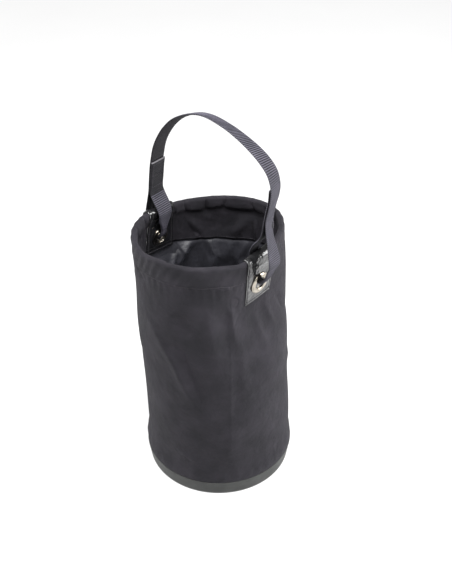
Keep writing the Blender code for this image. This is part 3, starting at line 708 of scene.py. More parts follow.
def moulded_rubber():
    """Injection-moulded thermoplastic rubber, spark-eroded finish: dark neutral grey, satin,
    scuffed paler towards its lower edge."""
    material, tree, shader = new_material(
        "satin moulded grey rubber",
        Roughness=0.55,
        IOR=1.5,
        Specular_IOR_Level=0.25,
    )
    place = add_node(tree, "TexCoord")
    colour = mottled(tree, place.outputs["Object"], "#303130", "#3a3b3a", 0.02)
    parts = add_node(tree, "SeparateXYZ", {"Vector": place.outputs["Object"]})
    scuff_noise = {"Vector": place.outputs["Object"], "Scale": 260.0, "Detail": 6.0, "Roughness": 0.7}
    scuff = add_node(tree, "TexNoise", scuff_noise)
    low = {"Value": parts.outputs["Z"], "From Min": 0.006, "From Max": 0.0, "To Min": 0.0, "To Max": 0.35}
    edge = add_node(tree, "MapRange", low)
    share = {0: edge.outputs["Result"], 1: scuff.outputs["Fac"]}
    worn = add_node(tree, "Math", share, operation="MULTIPLY")
    mixed = add_node(tree, "Mix", {"Factor": worn.outputs[0]}, data_type="RGBA")
    tree.links.new(colour, mixed.inputs[6])
    mixed.inputs[7].default_value = srgb("#8a8b8a")
    tree.links.new(mixed.outputs[2], shader.inputs["Base Color"])
    grit = add_node(tree, "TexNoise", {"Vector": place.outputs["Object"], "Scale": 1400.0, "Detail": 3.0})
    bump(tree, shader, grit.outputs["Fac"], 0.00015, 0.5)
    return material


def nickel_plate():
    """Pressed brass with nickel plating: a warm grey mirror with hairline wear."""
    material, tree, shader = new_material("bright nickel plated brass", Metallic=1.0, Roughness=0.12)
    place = add_node(tree, "TexCoord")
    colour = mottled(tree, place.outputs["Object"], "#9d968a", "#b9b2a6", 0.006)
    tree.links.new(colour, shader.inputs["Base Color"])
    wear = add_node(tree, "TexNoise", {"Vector": place.outputs["Object"], "Scale": 700.0, "Detail": 6.0})
    rough = add_node(tree, "MapRange", {"Value": wear.outputs["Fac"], "To Min": 0.08, "To Max": 0.24})
    tree.links.new(rough.outputs["Result"], shader.inputs["Roughness"])
    bump(tree, shader, wear.outputs["Fac"], 0.0001, 0.2)
    return material


def bonded_thread(name, dark, light):
    """Twisted bonded polyester thread: matt, with plies wound round it every 0.7 mm."""
    material, tree, shader = new_material(name, Roughness=0.6, IOR=1.5, Specular_IOR_Level=0.4)
    place = add_node(tree, "TexCoord")
    colour = mottled(tree, place.outputs["Object"], dark, light, 0.004)
    tree.links.new(colour, shader.inputs["Base Color"])
    parts = add_node(tree, "SeparateXYZ", {"Vector": place.outputs["UV"]})
    wound = add_node(tree, "Math", {0: parts.outputs["X"], 1: parts.outputs["Y"]}, operation="ADD")
    turns = {0: wound.outputs[0], 1: 2.0 * math.pi / PLY_PITCH}
    angle = add_node(tree, "Math", turns, operation="MULTIPLY")
    plies = add_node(tree, "Math", {0: angle.outputs[0]}, operation="SINE")
    bump(tree, shader, plies.outputs[0], 0.0001, 0.6)
    return material


def natural_polyethylene():
    """Extruded natural polyethylene rod: milky and waxy."""
    material, tree, shader = new_material("natural polyethylene rod", Roughness=0.35, IOR=1.54)
    place = add_node(tree, "TexCoord")
    colour = mottled(tree, place.outputs["Object"], "#dcdad2", "#e8e6df", 0.01)
    tree.links.new(colour, shader.inputs["Base Color"])
    lines = add_node(tree, "TexNoise", {"Vector": place.outputs["Object"], "Scale": 400.0})
    bump(tree, shader, lines.outputs["Fac"], 0.0001, 0.3)
    return material


# Pieces of the bag.


def spread(start, end, count):
    return np.linspace(start, end, count)


def canvas_levels(theta):
    """Heights of the wall's rows: level ones in and just over the cap, then shares of the way
    up to the roll, closer together at the hem."""
    low = np.concatenate([
        spread(CAP_FLOOR + FIT_GAP, CAP_HEIGHT, 5),
        CAP_HEIGHT + spread(0.0002, 0.0012, 6),
        CAP_HEIGHT + spread(0.0022, 0.0355, 14),
    ])
    start = low[-1]
    span = ROLL_HEIGHT - start
    hem = HEM_DEPTH / span
    shares = np.concatenate([
        spread(0.0, 1.0 - hem - 0.030, 84)[1:],
        spread(1.0 - hem - 0.030, 1.0 - hem + 0.016, 16)[1:],
        spread(1.0 - hem + 0.016, 1.0, 9)[1:],
    ])
    levels = [np.full_like(theta, z) for z in low]
    return levels + [start + (roll_height(theta) - start) * share for share in shares]


def make_canvas(material):
    """The canvas tube as one closed shell: up outside, over the roll, down inside as hem and
    facing, and back behind them. Each row is outer(), over_roll() or facing() at one height."""
    theta = np.arange(480) * 2.0 * math.pi / 480
    levels = canvas_levels(theta)
    turns = spread(0.0, math.pi, 13)[1:-1]
    depths = np.concatenate([spread(0.0, 0.024, 20), spread(0.027, FACING_DEPTH, 14)])
    rows = [outer(theta, z) for z in levels]
    rows += [over_roll(theta, turn, ROLL_RADIUS) for turn in turns]
    rows += [facing(theta, depth) for depth in depths]
    rows += [facing(theta, depth, -CANVAS) for depth in depths[::-6]]
    rows += [over_roll(theta, turn, ROLL_RADIUS - CANVAS) for turn in turns[::-4]]
    rows += [outer(theta, z, -CANVAS) for z in levels[::-8]]
    canvas = grid_mesh("canvas_shell", np.stack(rows), material, round_rows=True, round_columns=True)
    return fitted(canvas, "bag", "canvas", "canvas_body")


def make_lining(material):
    """The lining as one closed shell: its floor and wall seen from inside, then back outside.
    It hangs at sag() from the wall, and its floor puffs a little between the folds."""
    theta = np.arange(384) * 2.0 * math.pi / 384
    bottom = CAP_FLOOR + CANVAS + FIT_GAP + LINING_GAP
    top = roll_height(theta) - 0.050
    low = np.full_like(theta, bottom + LINING)
    foot_radius = wall_radius(theta, low) - CANVAS - LINING_GAP - LINING

    def on_wall(z, offset):
        depth = roll_height(theta) - z
        spill = ease(0.0618, 0.0665, depth) * (1.0 - ease(0.0900, 0.1300, depth))
        gap = CANVAS + LINING_GAP + offset + 0.0020 * spill * patch_guard(theta, z, 0.020)
        wall = wall_radius(theta, z) + relief(theta, z) * ease(bottom, CAP_HEIGHT, z)
        return at(theta, z, wall - gap - sag(theta, z))

    def on_floor(share, lift):
        puff = 0.0022 * np.sin(3.0 * theta + 5.0 * share) ** 2 * np.sin(np.pi * share)
        return at(theta, low + lift + puff, (foot_radius - 0.004) * share)

    shares = spread(0.04, 1.0, 14)
    levels = [low + 0.003 + (top - low - 0.003) * s for s in spread(0.0, 1.0, 125)]
    rows = [on_floor(share, 0.0) for share in shares]
    rows += [on_wall(z, LINING) for z in levels]
    rows += [on_wall(z, 0.0) for z in levels[::-6]]
    rows += [on_floor(share, -LINING) for share in shares[::-3]]
    lining = grid_mesh("lining_bag", np.stack(rows), material, round_columns=True, ends="poles")
    return fitted(lining, "bag", "lining", "inner_lining")


def turned_rows(profile, count):
    """A profile of (radius, height) points carried round the upright axis."""
    theta = np.arange(count) * 2.0 * math.pi / count
    radius, height = np.array(profile).T
    x = radius[:, None] * np.cos(theta)
    y = radius[:, None] * np.sin(theta)
    return np.stack(np.broadcast_arrays(x, y, height[:, None]), axis=-1)


def arc(middle, radius, start, end, count):
    """Points (r, z) along an arc, its angles in degrees."""
    angles = np.radians(spread(start, end, count))
    return list(zip(middle[0] + radius * np.cos(angles), middle[1] + radius * np.sin(angles)))


def make_cap(material):
    """The moulded cup, turned: flat underside, 3 mm rounded foot, drafted wall, rounded lip."""
    slope = (CAP_LIP_RADIUS - CAP_FOOT_RADIUS) / CAP_HEIGHT
    foot = (CAP_FOOT_RADIUS + slope * CAP_EDGE_ROUNDING - CAP_EDGE_ROUNDING, CAP_EDGE_ROUNDING)
    inner = CAP_FOOT_RADIUS + slope * CAP_FLOOR - CAP_WALL
    lip = 0.0008
    outside_wall = [(CAP_FOOT_RADIUS + slope * z, z) for z in spread(0.005, CAP_HEIGHT - 0.003, 10)]
    profile = [(0.02, 0.0), (0.06, 0.0), (0.09, 0.0)]
    profile += arc(foot, CAP_EDGE_ROUNDING, -90.0, -5.0, 9)
    profile += outside_wall
    profile += arc((CAP_LIP_RADIUS - lip, CAP_HEIGHT - lip), lip, 0.0, 90.0, 6)
    profile += arc((CAP_LIP_RADIUS - CAP_WALL + lip, CAP_HEIGHT - lip), lip, 90.0, 180.0, 6)
    profile += [(inner + 0.0015, 0.012), (inner, CAP_FLOOR + 0.001), (inner - 0.001, CAP_FLOOR)]
    profile += [(0.06, CAP_FLOOR), (0.02, CAP_FLOOR)]
    cap = grid_mesh("base_cup", turned_rows(profile, 256), material, round_columns=True, ends="poles")
    return fitted(cap, "bag", "cap_polymer", "base_cap")


# Patches.


def patch_lift(depth):
    """Offset of a patch's outer face: thicker where it lies over the rolled hem, with a short
    step down at the hem's lower edge."""
    return FIT_GAP + PATCH_THICKNESS + PATCH_OVER_HEM * (1.0 - ease(0.0125, 0.0160, depth))


def inner_patch_lift(depth):
    """Offset of a patch's inner face from the facing: a little thicker near the roll."""
    return FIT_GAP + PATCH_THICKNESS + PATCH_OVER_FACING * (1.0 - ease(0.010, 0.020, depth))


def stitch_groove(across, foot_distance):
    """The stitching draws the patch down 0.5 mm along its line, 3 mm in from the edges."""
    half = PATCH_HALF_ANGLE * (MOUTH_RADIUS - MOUTH_OVAL)
    side = bell(half - np.abs(across) - STITCH_INSET, 0.0010)
    foot = bell(foot_distance - STITCH_INSET, 0.0010)
    inside = (np.abs(across) < half - STITCH_INSET + 0.001) & (foot_distance > STITCH_INSET - 0.001)
    return -0.0005 * np.where(inside, np.maximum(side, foot), 0.0)


def make_patch(side, material):
    """A patch folded over the rim: a band whose section is a thin rounded rectangle, carried
    up outside, over the roll and down inside."""
    angle = PATCH_ANGLES[side]
    count = 40
    spot = spread(-1.0, 1.0, count)
    spot = np.sign(spot) * (1.0 - (1.0 - np.abs(spot)) ** 1.6)
    theta = angle + PATCH_HALF_ANGLE * spot
    across = turn_from(angle, theta) * (MOUTH_RADIUS - MOUTH_OVAL)
    rounding = np.sqrt(1.0 - np.abs(spot) ** 60)
    middle = roll_height(theta)
    stations = [("outside", d) for d in np.concatenate([
        PATCH_DROP - 0.0004 * (1.0 - np.cos(spread(0.0, math.pi / 2, 4))),
        spread(PATCH_DROP - 0.001, 0.0, 54),
    ])]
    stations += [("over", t) for t in spread(0.0, math.pi, 16)[1:-1]]
    stations += [("inside", d) for d in spread(0.0, PATCH_DROP, 44)]
    sections = []
    for place, value in stations:
        if place == "outside":
            lift = patch_lift(value) + stitch_groove(across, PATCH_DROP - value)
            lift = lift + 0.00025 * np.sin(across / 0.009 + value / 0.008)
            rows = [outer(theta, middle - value, o) for o in (lift, FIT_GAP)]
        elif place == "over":
            lift = patch_lift(0.0) - 0.0008 * ease(0.5 * math.pi, math.pi, value)
            rows = [over_roll(theta, value, ROLL_RADIUS + o) for o in (lift, FIT_GAP)]
        else:
            lift = inner_patch_lift(value) + stitch_groove(across, PATCH_DROP - value)
            rows = [facing(theta, np.full_like(theta, value), o) for o in (lift, FIT_GAP)]
        core = (rows[0] + rows[1]) / 2.0
        half = (rows[0] - rows[1]) / 2.0 * rounding[:, None]
        sections.append(np.concatenate([core + half, (core - half)[::-1]]))
    name = "patch_cover_" + side
    patch = grid_mesh(name, np.stack(sections), material, round_columns=True, ends="pairs")
    return fitted(patch, "bag", "coated_patch", "patch_" + side)


# Eyelets.


def grommet_frame(side):
    """Middle of the hole on the smooth canvas wall, and the directions outward and up there."""
    angle = PATCH_ANGLES[side]
    z = np.array(roll_height(angle) - GROMMET_DROP)
    step = 0.008

    def wall(height):
        return at(angle, height, wall_radius(angle, height))

    across = np.array([-math.sin(angle), math.cos(angle), 0.0])
    out = unit(np.cross(across, wall(z + step) - wall(z - step)))
    return wall(z), out, np.cross(out, across)


def make_eyelet(side, name, profile, node, material):
    """A pressed ring: a closed profile of (radius, height) turned about the hole's axis."""
    place, out, up = grommet_frame(side)
    sideways = np.cross(up, out)
    local = turned_rows(profile, 96)
    grid = place + local[..., :1] * sideways + local[..., 1:2] * up + local[..., 2:] * out
    ring = grid_mesh(name, grid, material, round_rows=True, round_columns=True)
    return fitted(ring, "bag", "nickel_plated_brass", node)


def make_eyelets(side, material):
    """The domed outer flange with its barrel, and the inner ring that it is clenched over."""
    face = 2.0 * FIT_GAP + PATCH_THICKNESS + 0.0001
    back = -(FACING_STACK + PATCH_THICKNESS + 2.0 * FIT_GAP)
    hole, rim, tall = GROMMET_HOLE_RADIUS, GROMMET_FLANGE_RADIUS, GROMMET_FLANGE_HEIGHT
    throat = 0.0016
    flange = [(hole + GROMMET_WALL, back - 0.0016), (hole + GROMMET_WALL, face)]
    flange += [(rim - 0.0006, face), (rim, face + 0.0003), (rim, face + 0.0007)]
    flange += arc((rim - 0.0028, face - 0.0017), 0.0035, 42.0, 84.0, 9)
    flange += arc((hole + throat, face + tall - throat), throat, 80.0, 180.0, 12)
    flange += [(hole, (face + back) / 2.0), (hole, back - 0.0012)]
    flange += arc((hole + 0.0011, back - 0.0012), 0.0011, 180.0, 290.0, 7)
    make_eyelet(side, "eyelet_" + side, flange, "grommet_" + side, material)
    near = back - 0.0001
    bore = hole + GROMMET_WALL + 0.00015
    outer_rim = rim - 0.001
    ring = [(bore, near), (outer_rim, near), (outer_rim + 0.0002, near - 0.0004)]
    ring += arc((outer_rim - 0.0011, near - 0.0003), 0.0011, -20.0, -90.0, 6)
    ring += arc((bore + 0.0016, near - 0.0006), 0.0011, -90.0, -180.0, 8)
    make_eyelet(side, "eyelet_ring_" + side, ring, "washer_" + side, material)


# Stitches.


def stitch_row(name, path, normals, pitch, material, radius=0.00036):
    """Separate stitches along a path: each is a lens-ended rod with its middle raised, six
    sides and five rings, its ends dipping into the cloth. path and normals are dense points."""
    steps = np.linalg.norm(np.diff(path, axis=0), axis=1)
    run = np.concatenate([[0.0], np.cumsum(steps)])
    count = max(1, int(run[-1] / pitch))
    starts = (np.arange(count) + 0.12) * run[-1] / count
    shares = np.array([0.0, 0.12, 0.5, 0.88, 1.0])
    lengths = starts[:, None] + shares * 0.76 * run[-1] / count
    middle = np.stack([np.interp(lengths, run, path[:, k]) for k in range(3)], axis=-1)
    normal = unit(np.stack([np.interp(lengths, run, normals[:, k]) for k in range(3)], axis=-1))
    dip = np.array([-1.3, -0.1, 0.25, -0.1, -1.3]) * radius
    middle = middle + normal * dip[:, None]
    along = unit(middle[:, -1:] - middle[:, :1])
    side = unit(np.cross(normal, along))
    size = np.array([0.45, 0.95, 1.0, 0.95, 0.45]) * radius
    turn = np.arange(6) * math.pi / 3.0
    ring = side[:, :, None] * np.cos(turn)[:, None] + normal[:, :, None] * np.sin(turn)[:, None]
    points = middle[:, :, None] + ring * size[:, None, None]
    base = np.arange(count)[:, None, None] * 30 + np.arange(4)[None, :, None] * 6
    k = np.arange(6)
    quads = np.stack(
        [base + k, base + (k + 1) % 6, base + (k + 1) % 6 + 6, base + k + 6], axis=-1
    ).reshape(-1, 4)
    ends = []
    for first in range(0, count * 30, 30):
        ends.append([first + j for j in range(5, -1, -1)])
        ends.append([first + 24 + j for j in range(6)])
    mesh = bpy.data.meshes.new(name)
    mesh.from_pydata(points.reshape(-1, 3).tolist(), [], quads.tolist() + ends)
    mesh.materials.append(material)
    mesh.shade_smooth()
    layer = mesh.uv_layers.new(name="true_size")
    corner = np.empty(len(mesh.loops), np.int64)
    mesh.loops.foreach_get("vertex_index", corner)
    along_run = np.repeat(lengths.reshape(-1), 6)[corner]
    round_it = (np.tile(turn, count * 5) * radius)[corner]
    layer.data.foreach_set("uv", np.stack([round_it, along_run], axis=1).astype(np.float32).ravel())
    obj = bpy.data.objects.new(name, mesh)
    bpy.context.scene.collection.objects.link(obj)
    return obj


def surface_path(surface, theta, second):
    """Points on surface(theta, second) and its normals, from steps along both."""
    step = 0.0008
    points = surface(theta, second)
    round_it = surface(theta + step / BODY_RADIUS, second) - surface(theta - step / BODY_RADIUS, second)
    along = surface(theta, second + step) - surface(theta, second - step)
    normals = unit(np.cross(round_it, along))
    return points, normals


def rim_spans():
    """The two stretches of rim between the patches."""
    clear = PATCH_HALF_ANGLE + math.radians(0.7)
    right, left = PATCH_ANGLES["right"], PATCH_ANGLES["left"]
    return {
        "back": spread(right + clear, left - clear, 400),
        "front": spread(left + clear, right + 2.0 * math.pi - clear, 400),
    }


def make_rim_stitches(thread):
    """The hem's stitching outside, and the row that joins facing and lining inside."""

    def hem_line(theta, depth):
        return outer(theta, roll_height(theta) - depth, 0.0002)

    def facing_line(theta, depth):
        return facing(theta, depth, 0.0002)

    made = []
    for place, theta in rim_spans().items():
        points, normals = surface_path(hem_line, theta, np.full_like(theta, HEM_DEPTH))
        row = stitch_row("hem_stitches_" + place, points, -normals, 0.0034, thread)
        made.append(fitted(row, "bag", "thread", "hem_stitching_" + place))
        low = np.full_like(theta, FACING_DEPTH - STITCH_INSET)
        points, normals = surface_path(facing_line, theta, low)
        row = stitch_row("facing_stitches_" + place, points, normals, 0.0034, thread)
        made.append(fitted(row, "bag", "thread", "facing_stitching_" + place))
    return made


def make_seam_stitches(thread):
    """Two rows up the felled back seam, 6 mm apart, made as one piece."""
    heights = spread(CAP_HEIGHT + 0.004, roll_height(SEAM_ANGLE) - HEM_DEPTH - 0.002, 300)
    rows = []
    for off in (-0.003, 0.003):
        theta = np.full_like(heights, SEAM_ANGLE + off / BODY_RADIUS)
        points, normals = surface_path(lambda a, z: outer(a, z, 0.0002), theta, heights)
        rows.append(stitch_row("seam_row", points, normals, 0.0034, thread))
    seam = joined("seam_stitches", rows)
    return fitted(seam, "bag", "thread", "side_seam_stitching")


def joined(name, pieces):
    """Several meshes of separate closed bodies as one object."""
    with bpy.context.temp_override(active_object=pieces[0], selected_editable_objects=pieces):
        bpy.ops.object.join()
    pieces[0].name = name
    pieces[0].data.name = name
    return pieces[0]


def make_patch_stitches(side, thread):
    """Stitching 3 mm in from a patch's edges: down one side, along the foot and up the other,
    on its outer and inner faces alike."""
    angle = PATCH_ANGLES[side]
    half = PATCH_HALF_ANGLE - STITCH_INSET / (MOUTH_RADIUS - MOUTH_OVAL)
    foot = PATCH_DROP - STITCH_INSET
    corners = np.array([(-half, 0.006), (-half, foot), (half, foot), (half, 0.006)])
    share = spread(0.0, 1.0, 120)[:, None]
    runs = [corners[k] + (corners[k + 1] - corners[k]) * share for k in range(3)]
    rows = []

    def outer_face(theta, depth):
        return outer(theta, roll_height(theta) - depth, patch_lift(depth) - 0.0002)

    def inner_face(theta, depth):
        return facing(theta, depth, inner_patch_lift(depth) - 0.0002)

    for surface, sign in ((outer_face, -1.0), (inner_face, 1.0)):
        for run in runs:
            points, normals = surface_path(surface, angle + run[:, 0], run[:, 1])
            rows.append(stitch_row("patch_row", points, sign * normals, 0.0033, thread, 0.00048))
    stitches = joined("patch_stitches_" + side, rows)
    return fitted(stitches, "bag", "thread", "patch_stitching_" + side)


# The handle. Its strap is one strip: from the left free end down inside the bag, out through
# the left eyelet, up and over, in through the right eyelet, and up to the right free end.

# Strap's middle near an eyelet, as (out, up, width, thickness) from the hole's middle.
THROUGH_HOLE = [
    (-0.0070, 0.0027, 0.0114, 0.0033),
    (-0.0020, 0.0024, 0.0118, 0.0034),
    (0.0028, 0.0027, 0.0118, 0.0034),
]
INNER_LEG = {
    "left": [
        (-0.0137, 0.0430, 0.0240, 0.0019),
        (-0.0134, 0.0330, 0.0225, 0.0020),
        (-0.0128, 0.0240, 0.0150, 0.0028),
        (-0.0120, 0.0150, 0.0092, 0.0038),
        (-0.0120, 0.0098, 0.0092, 0.0040),
        (-0.0103, 0.0053, 0.0096, 0.0038),
    ],
    "right": [
        (-0.0137, 0.0430, 0.0180, 0.0024),
        (-0.0134, 0.0330, 0.0160, 0.0026),
        (-0.0124, 0.0240, 0.0140, 0.0030),
        (-0.0120, 0.0150, 0.0100, 0.0038),
        (-0.0120, 0.0098, 0.0092, 0.0040),
        (-0.0103, 0.0053, 0.0096, 0.0038),
    ],
}
OUTER_LEG = {
    "left": [
        (0.0062, 0.0046, 0.0132, 0.0031),
        (0.0086, 0.0090, 0.0170, 0.0026),
        (0.0098, 0.0160, 0.0215, 0.0021),
        (0.0104, 0.0270, 0.0254, 0.0018),
        (0.0105, 0.0400, 0.0254, 0.0018),
    ],
    "right": [
        (0.0070, 0.0040, 0.0104, 0.0036),
        (0.0104, 0.0090, 0.0104, 0.0036),
        (0.0146, 0.0180, 0.0140, 0.0030),
        (0.0178, 0.0290, 0.0190, 0.0022),
        (0.0212, 0.0420, 0.0222, 0.0019),
    ],
}
INNER_NECK = {
    "left": [(-0.0005, 0.0640, 0.0254, 0.0018), (-0.0082, 0.0540, 0.0250, 0.0018)],
    "right": [
        (0.0040, 0.0830, 0.0240, 0.0018),
        (-0.0010, 0.0700, 0.0215, 0.0019),
        (-0.0098, 0.0560, 0.0190, 0.0021),
    ],
}

# Strap's middle over the bag, as (x, z, twist in degrees).
LEFT_LAP = [(-0.1051, 0.4030, 0), (-0.1033, 0.4185, 0), (-0.1014, 0.4340, 0), (-0.0990, 0.4480, 0)]
ARCH = [
    (-0.0935, 0.4700, 0),
    (-0.0850, 0.4875, 2),
    (-0.0725, 0.5050, 5),
    (-0.0555, 0.5205, 10),
    (-0.0310, 0.5330, 15),
    (-0.0070, 0.5372, 20),
    (0.0200, 0.5335, 20),
    (0.0420, 0.5270, 18),
    (0.0630, 0.5180, 14),
    (0.0790, 0.5080, 12),
    (0.0905, 0.4960, 12),
]
RIGHT_LAP = [(0.0958, 0.4800, 12), (0.0950, 0.4650, 12), (0.0916, 0.4500, 14), (0.0886, 0.4350, 15)]
RIGHT_NECK = [(0.0884, 0.4180, 20), (0.0912, 0.4020, 20)]
LEFT_NECK = [(-0.1083, 0.3880, 0)]
RIB_PITCH = 0.0027
LAP_LENGTH = 0.052
RIB_HEIGHT = 0.0007


def near_eyelet(side, rows):
    """Strap rows at an eyelet, untwisted."""
    place, out, up = grommet_frame(side)
    return [(*(place + out * away + up * rise), 0.0, *size) for away, rise, *size in rows]


def over_bag(rows):
    """Strap rows over the bag, in the upright plane through both eyelets."""
    left, right = grommet_frame("left")[0], grommet_frame("right")[0]
    slant = (right[1] - left[1]) / (right[0] - left[0])
    size = (STRAP_WIDTH, STRAP_THICKNESS)
    return [(x, left[1] + slant * (x - left[0]), z, twist, *size) for x, z, twist in rows]


def strap_axes(tangents, twist_degrees):
    """Unit vectors out of the strap's outer face and across its width, twisted about its run."""
    along = unit(tangents)
    across = unit(np.array([0.0, 1.0, 0.0]) - along * along[:, 1:2])
    normal = np.cross(along, across)
    twist = np.radians(twist_degrees)[:, None]
    return (
        normal * np.cos(twist) + across * np.sin(twist),
        across * np.cos(twist) - normal * np.sin(twist),
    )


def strap_rows():
    """The strap's whole route, as rows of middle x, y, z, twist, width and thickness."""
    outer_left = near_eyelet("left", OUTER_LEG["left"])
    outer_right = near_eyelet("right", OUTER_LEG["right"][::-1])
    over = over_bag(LEFT_NECK + LEFT_LAP + ARCH + RIGHT_LAP + RIGHT_NECK)
    main = np.array(outer_left + over + outer_right)
    plies = main.copy()
    normals, _ = strap_axes(np.gradient(main[:, :3], axis=0), main[:, 3])
    plies[:, :3] -= normals * (STRAP_THICKNESS + 2.0 * FIT_GAP)
    plies[:, 3] *= -1.0
    first = len(outer_left) + len(LEFT_NECK)
    last = first + len(LEFT_LAP) + len(ARCH)
    lap_left = plies[first : first + len(LEFT_LAP)][::-1]
    lap_right = plies[last : last + len(RIGHT_LAP)][::-1]
    inner = {side: INNER_NECK[side] + INNER_LEG[side] + THROUGH_HOLE for side in INNER_LEG}
    inner_left = near_eyelet("left", inner["left"])
    inner_right = near_eyelet("right", inner["right"][::-1])
    return np.concatenate([lap_left, inner_left, main, inner_right, lap_right])


def smooth_rows(rows, spacing):
    """Catmull-Rom curve through the rows, sampled about every spacing."""
    padded = np.concatenate([2.0 * rows[:1] - rows[1:2], rows, 2.0 * rows[-1:] - rows[-2:-1]])
    samples = []
    for i in range(len(rows) - 1):
        a, b, c, d = padded[i : i + 4]
        count = max(1, round(float(np.linalg.norm(c[:3] - b[:3])) / spacing))
        t = (np.arange(count) / count)[:, None]
        rise = 0.5 * t * (c - a) + t**2 * (a - 2.5 * b + 2.0 * c - 0.5 * d)
        samples.append(b + rise + t**3 * (-0.5 * a + 1.5 * b - 1.5 * c + 0.5 * d))
    return np.concatenate([*samples, rows[-1:]])


def strap_sections(rows):
    """Sections of the strap: a flat rounded strip, ribbed across on both faces, that folds
    lengthwise into a W where it gathers to pass an eyelet."""
    middle = rows[:, :3]
    normal, across = strap_axes(np.gradient(middle, axis=0), rows[:, 3])
    run = np.concatenate([[0.0], np.cumsum(np.linalg.norm(np.diff(middle, axis=0), axis=1))])
    spot = np.sin(spread(-0.5, 0.5, 17) * math.pi)
    spot = np.sign(spot) * np.abs(spot) ** 0.8
    face = np.sqrt(1.0 - np.abs(spot) ** 16)
    rib = RIB_HEIGHT * (0.5 - 0.5 * np.cos(2.0 * math.pi * run / RIB_PITCH) - 0.6)
    ribbing = rib[:, None] * (1.0 - np.abs(spot) ** 6)
    ends = np.minimum(run, run[-1] - run)
    closing = np.sqrt(1.0 - (1.0 - np.clip(ends / 0.0008, 0.05, 1.0)) ** 2)
    half = (STRAP_THICKNESS / 2.0 * closing)[:, None] * face
    wave = ((rows[:, 5] - STRAP_THICKNESS) / 2.0)[:, None] * np.cos(3.0 * math.pi * spot)
    wide = rows[:, 4:5] / 2.0 * spot
    rise = np.concatenate([wave + half + ribbing * face, (wave - half - ribbing * face)[:, ::-1]], axis=1)
    wide = np.concatenate([wide, wide[:, ::-1]], axis=1)
    grid = middle[:, None] + normal[:, None] * rise[..., None] + across[:, None] * wide[..., None]
    return grid, run


def make_strap(material):
    rows = smooth_rows(strap_rows(), RIB_PITCH / 6.0)
    grid, run = strap_sections(rows)
    strap = grid_mesh("carry_strap", grid, material, round_columns=True, ends="pairs", run=run)
    return fitted(strap, "handle", "webbing", "handle_webbing")


def make_lap_stitches(side, thread):
    """Each lap's stitching: a box 3 mm in from the strap's edges, and a row across its middle,
    on the free end's ply."""
    rows = smooth_rows(strap_rows(), 0.0006)
    middle = rows[:, :3]
    normal, across = strap_axes(np.gradient(middle, axis=0), rows[:, 3])
    run = np.concatenate([[0.0], np.cumsum(np.linalg.norm(np.diff(middle, axis=0), axis=1))])
    away = run if side == "left" else run[-1] - run
    lap = (away > 0.004) & (away < 0.040)
    lift = STRAP_THICKNESS / 2.0 + RIB_HEIGHT * 0.6
    inset = STRAP_WIDTH / 2.0 - STITCH_INSET
    path, face, edge = middle[lap] + normal[lap] * lift, normal[lap], across[lap] * inset
    share = spread(-1.0, 1.0, 40)[:, None]
    pieces = []
    for sign in (-1.0, 1.0):
        pieces.append(stitch_row("lap_row", path + sign * edge, face, 0.0030, thread))
    for k in (0, len(path) // 2, len(path) - 1):
        row = path[k] + share * edge[k]
        pieces.append(stitch_row("lap_row", row, np.repeat(face[k : k + 1], 40, axis=0), 0.0030, thread))
    stitches = joined("lap_stitches_" + side, pieces)
    return fitted(stitches, "handle", "thread", "lap_stitching_" + side)


# The set: a pale seamless floor, soft lights and the camera.


def pale_paper():
    """Seamless mid grey paper that also gives off light of its own, so that it looks nearly
    white and throws less of the lamps' light back up at the bag."""
    material, tree, shader = new_material("pale seamless paper", Roughness=0.9)
    place = add_node(tree, "TexCoord")
    colour = mottled(tree, place.outputs["Object"], "#8c8c8c", "#929292", 0.4)
    tree.links.new(colour, shader.inputs["Base Color"])
    shader.inputs["Emission Color"].default_value = (1.0, 1.0, 1.0, 1.0)
    shader.inputs["Emission Strength"].default_value = 0.74
    return material


def make_floor():
    half = 6.0
    corners = [(-half, -half, 0.0), (half, -half, 0.0), (half, half, 0.0), (-half, half, 0.0)]
    mesh = bpy.data.meshes.new("floor")
    mesh.from_pydata(corners, [], [(0, 1, 2, 3)])
    mesh.materials.append(pale_paper())
    floor = bpy.data.objects.new("floor", mesh)
    floor.location.z = -FLOOR_DROP
    bpy.context.scene.collection.objects.link(floor)


VIEW_AZIMUTH = math.radians(40.0)
VIEW_PITCH = math.radians(35.9)


def make_camera():
    """The camera: 1.06 m up and 1.08 m back, looking down 35.9 degrees."""
    right = np.array([math.cos(VIEW_AZIMUTH), math.sin(VIEW_AZIMUTH), 0.0])
    away = np.array([-math.sin(VIEW_AZIMUTH), math.cos(VIEW_AZIMUTH), 0.0])
    camera = bpy.data.objects.new("camera", bpy.data.cameras.new("camera"))
    camera.location = 0.01015 * right - 1.083 * away + np.array([0.0, 0.0, 1.0637])
    camera.rotation_euler = (math.pi / 2.0 - VIEW_PITCH, 0.0, VIEW_AZIMUTH)
    camera.data.sensor_fit = "VERTICAL"
    camera.data.sensor_height = 24.0
    camera.data.lens = 41.1
    camera.data.clip_end = 30.0
    bpy.context.scene.collection.objects.link(camera)
    bpy.context.scene.camera = camera


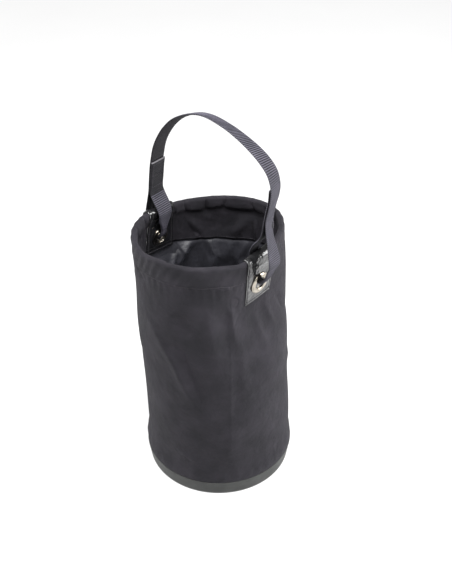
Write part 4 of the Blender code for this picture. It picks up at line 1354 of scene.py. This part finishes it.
def soft_light(name, azimuth, elevation, distance, size, power, tint="#ffffff"):
    """A softbox at an azimuth from +X and an elevation, facing the bag's middle."""
    a, e = math.radians(azimuth), math.radians(elevation)
    toward = np.array([math.cos(a) * math.cos(e), math.sin(a) * math.cos(e), math.sin(e)])
    light = bpy.data.lights.new(name, "AREA")
    light.shape = "RECTANGLE"
    light.size, light.size_y = size
    light.energy = power
    light.color = srgb(tint)[:3]
    obj = bpy.data.objects.new(name, light)
    obj.location = np.array([0.0, 0.0, 0.25]) + toward * distance
    obj.rotation_euler = (math.pi / 2.0 - e, 0.0, a + math.pi / 2.0)
    bpy.context.scene.collection.objects.link(obj)


def make_lights():
    soft_light("right_softbox", 36.0, 14.0, 1.7, (1.1, 1.4), 50.0)
    soft_light("left_softbox", -150.0, 14.0, 1.7, (1.1, 1.4), 28.0)
    soft_light("top_softbox", -46.0, 70.0, 1.5, (0.9, 0.9), 56.0)
    world = bpy.data.worlds.new("studio")
    world.use_nodes = True
    tree = world.node_tree
    seen = add_node(tree, "LightPath")
    strength = {"Value": seen.outputs["Is Camera Ray"], "To Min": 0.22, "To Max": 1.0}
    level = add_node(tree, "MapRange", strength)
    tree.links.new(level.outputs["Result"], tree.nodes["Background"].inputs["Strength"])
    tree.nodes["Background"].inputs["Color"].default_value = (1.0, 1.0, 1.0, 1.0)
    bpy.context.scene.world = world
    bpy.context.scene.view_settings.view_transform = "Standard"


def main():
    make_camera()
    canvas, lining = woven_canvas(), coated_nylon()
    vinyl, nickel = glossy_vinyl(), nickel_plate()
    thread = bonded_thread("black bonded thread", "#242226", "#343138")
    shell = make_canvas(canvas)
    inner = make_lining(lining)
    make_cap(moulded_rubber())
    rim = make_rim_stitches(thread)
    seam = make_seam_stitches(thread)
    for side in PATCH_ANGLES:
        patch = make_patch(side, vinyl)
        make_eyelets(side, nickel)
        stitches = make_patch_stitches(side, thread)
    make_strap(ribbed_webbing())
    for side in PATCH_ANGLES:
        make_lap_stitches(side, thread)
    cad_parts["rim_rod"].data.materials.clear()
    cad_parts["rim_rod"].data.materials.append(natural_polyethylene())
    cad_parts["canvas_floor"].data.materials.clear()
    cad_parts["canvas_floor"].data.materials.append(canvas)
    make_floor()
    make_lights()


main()
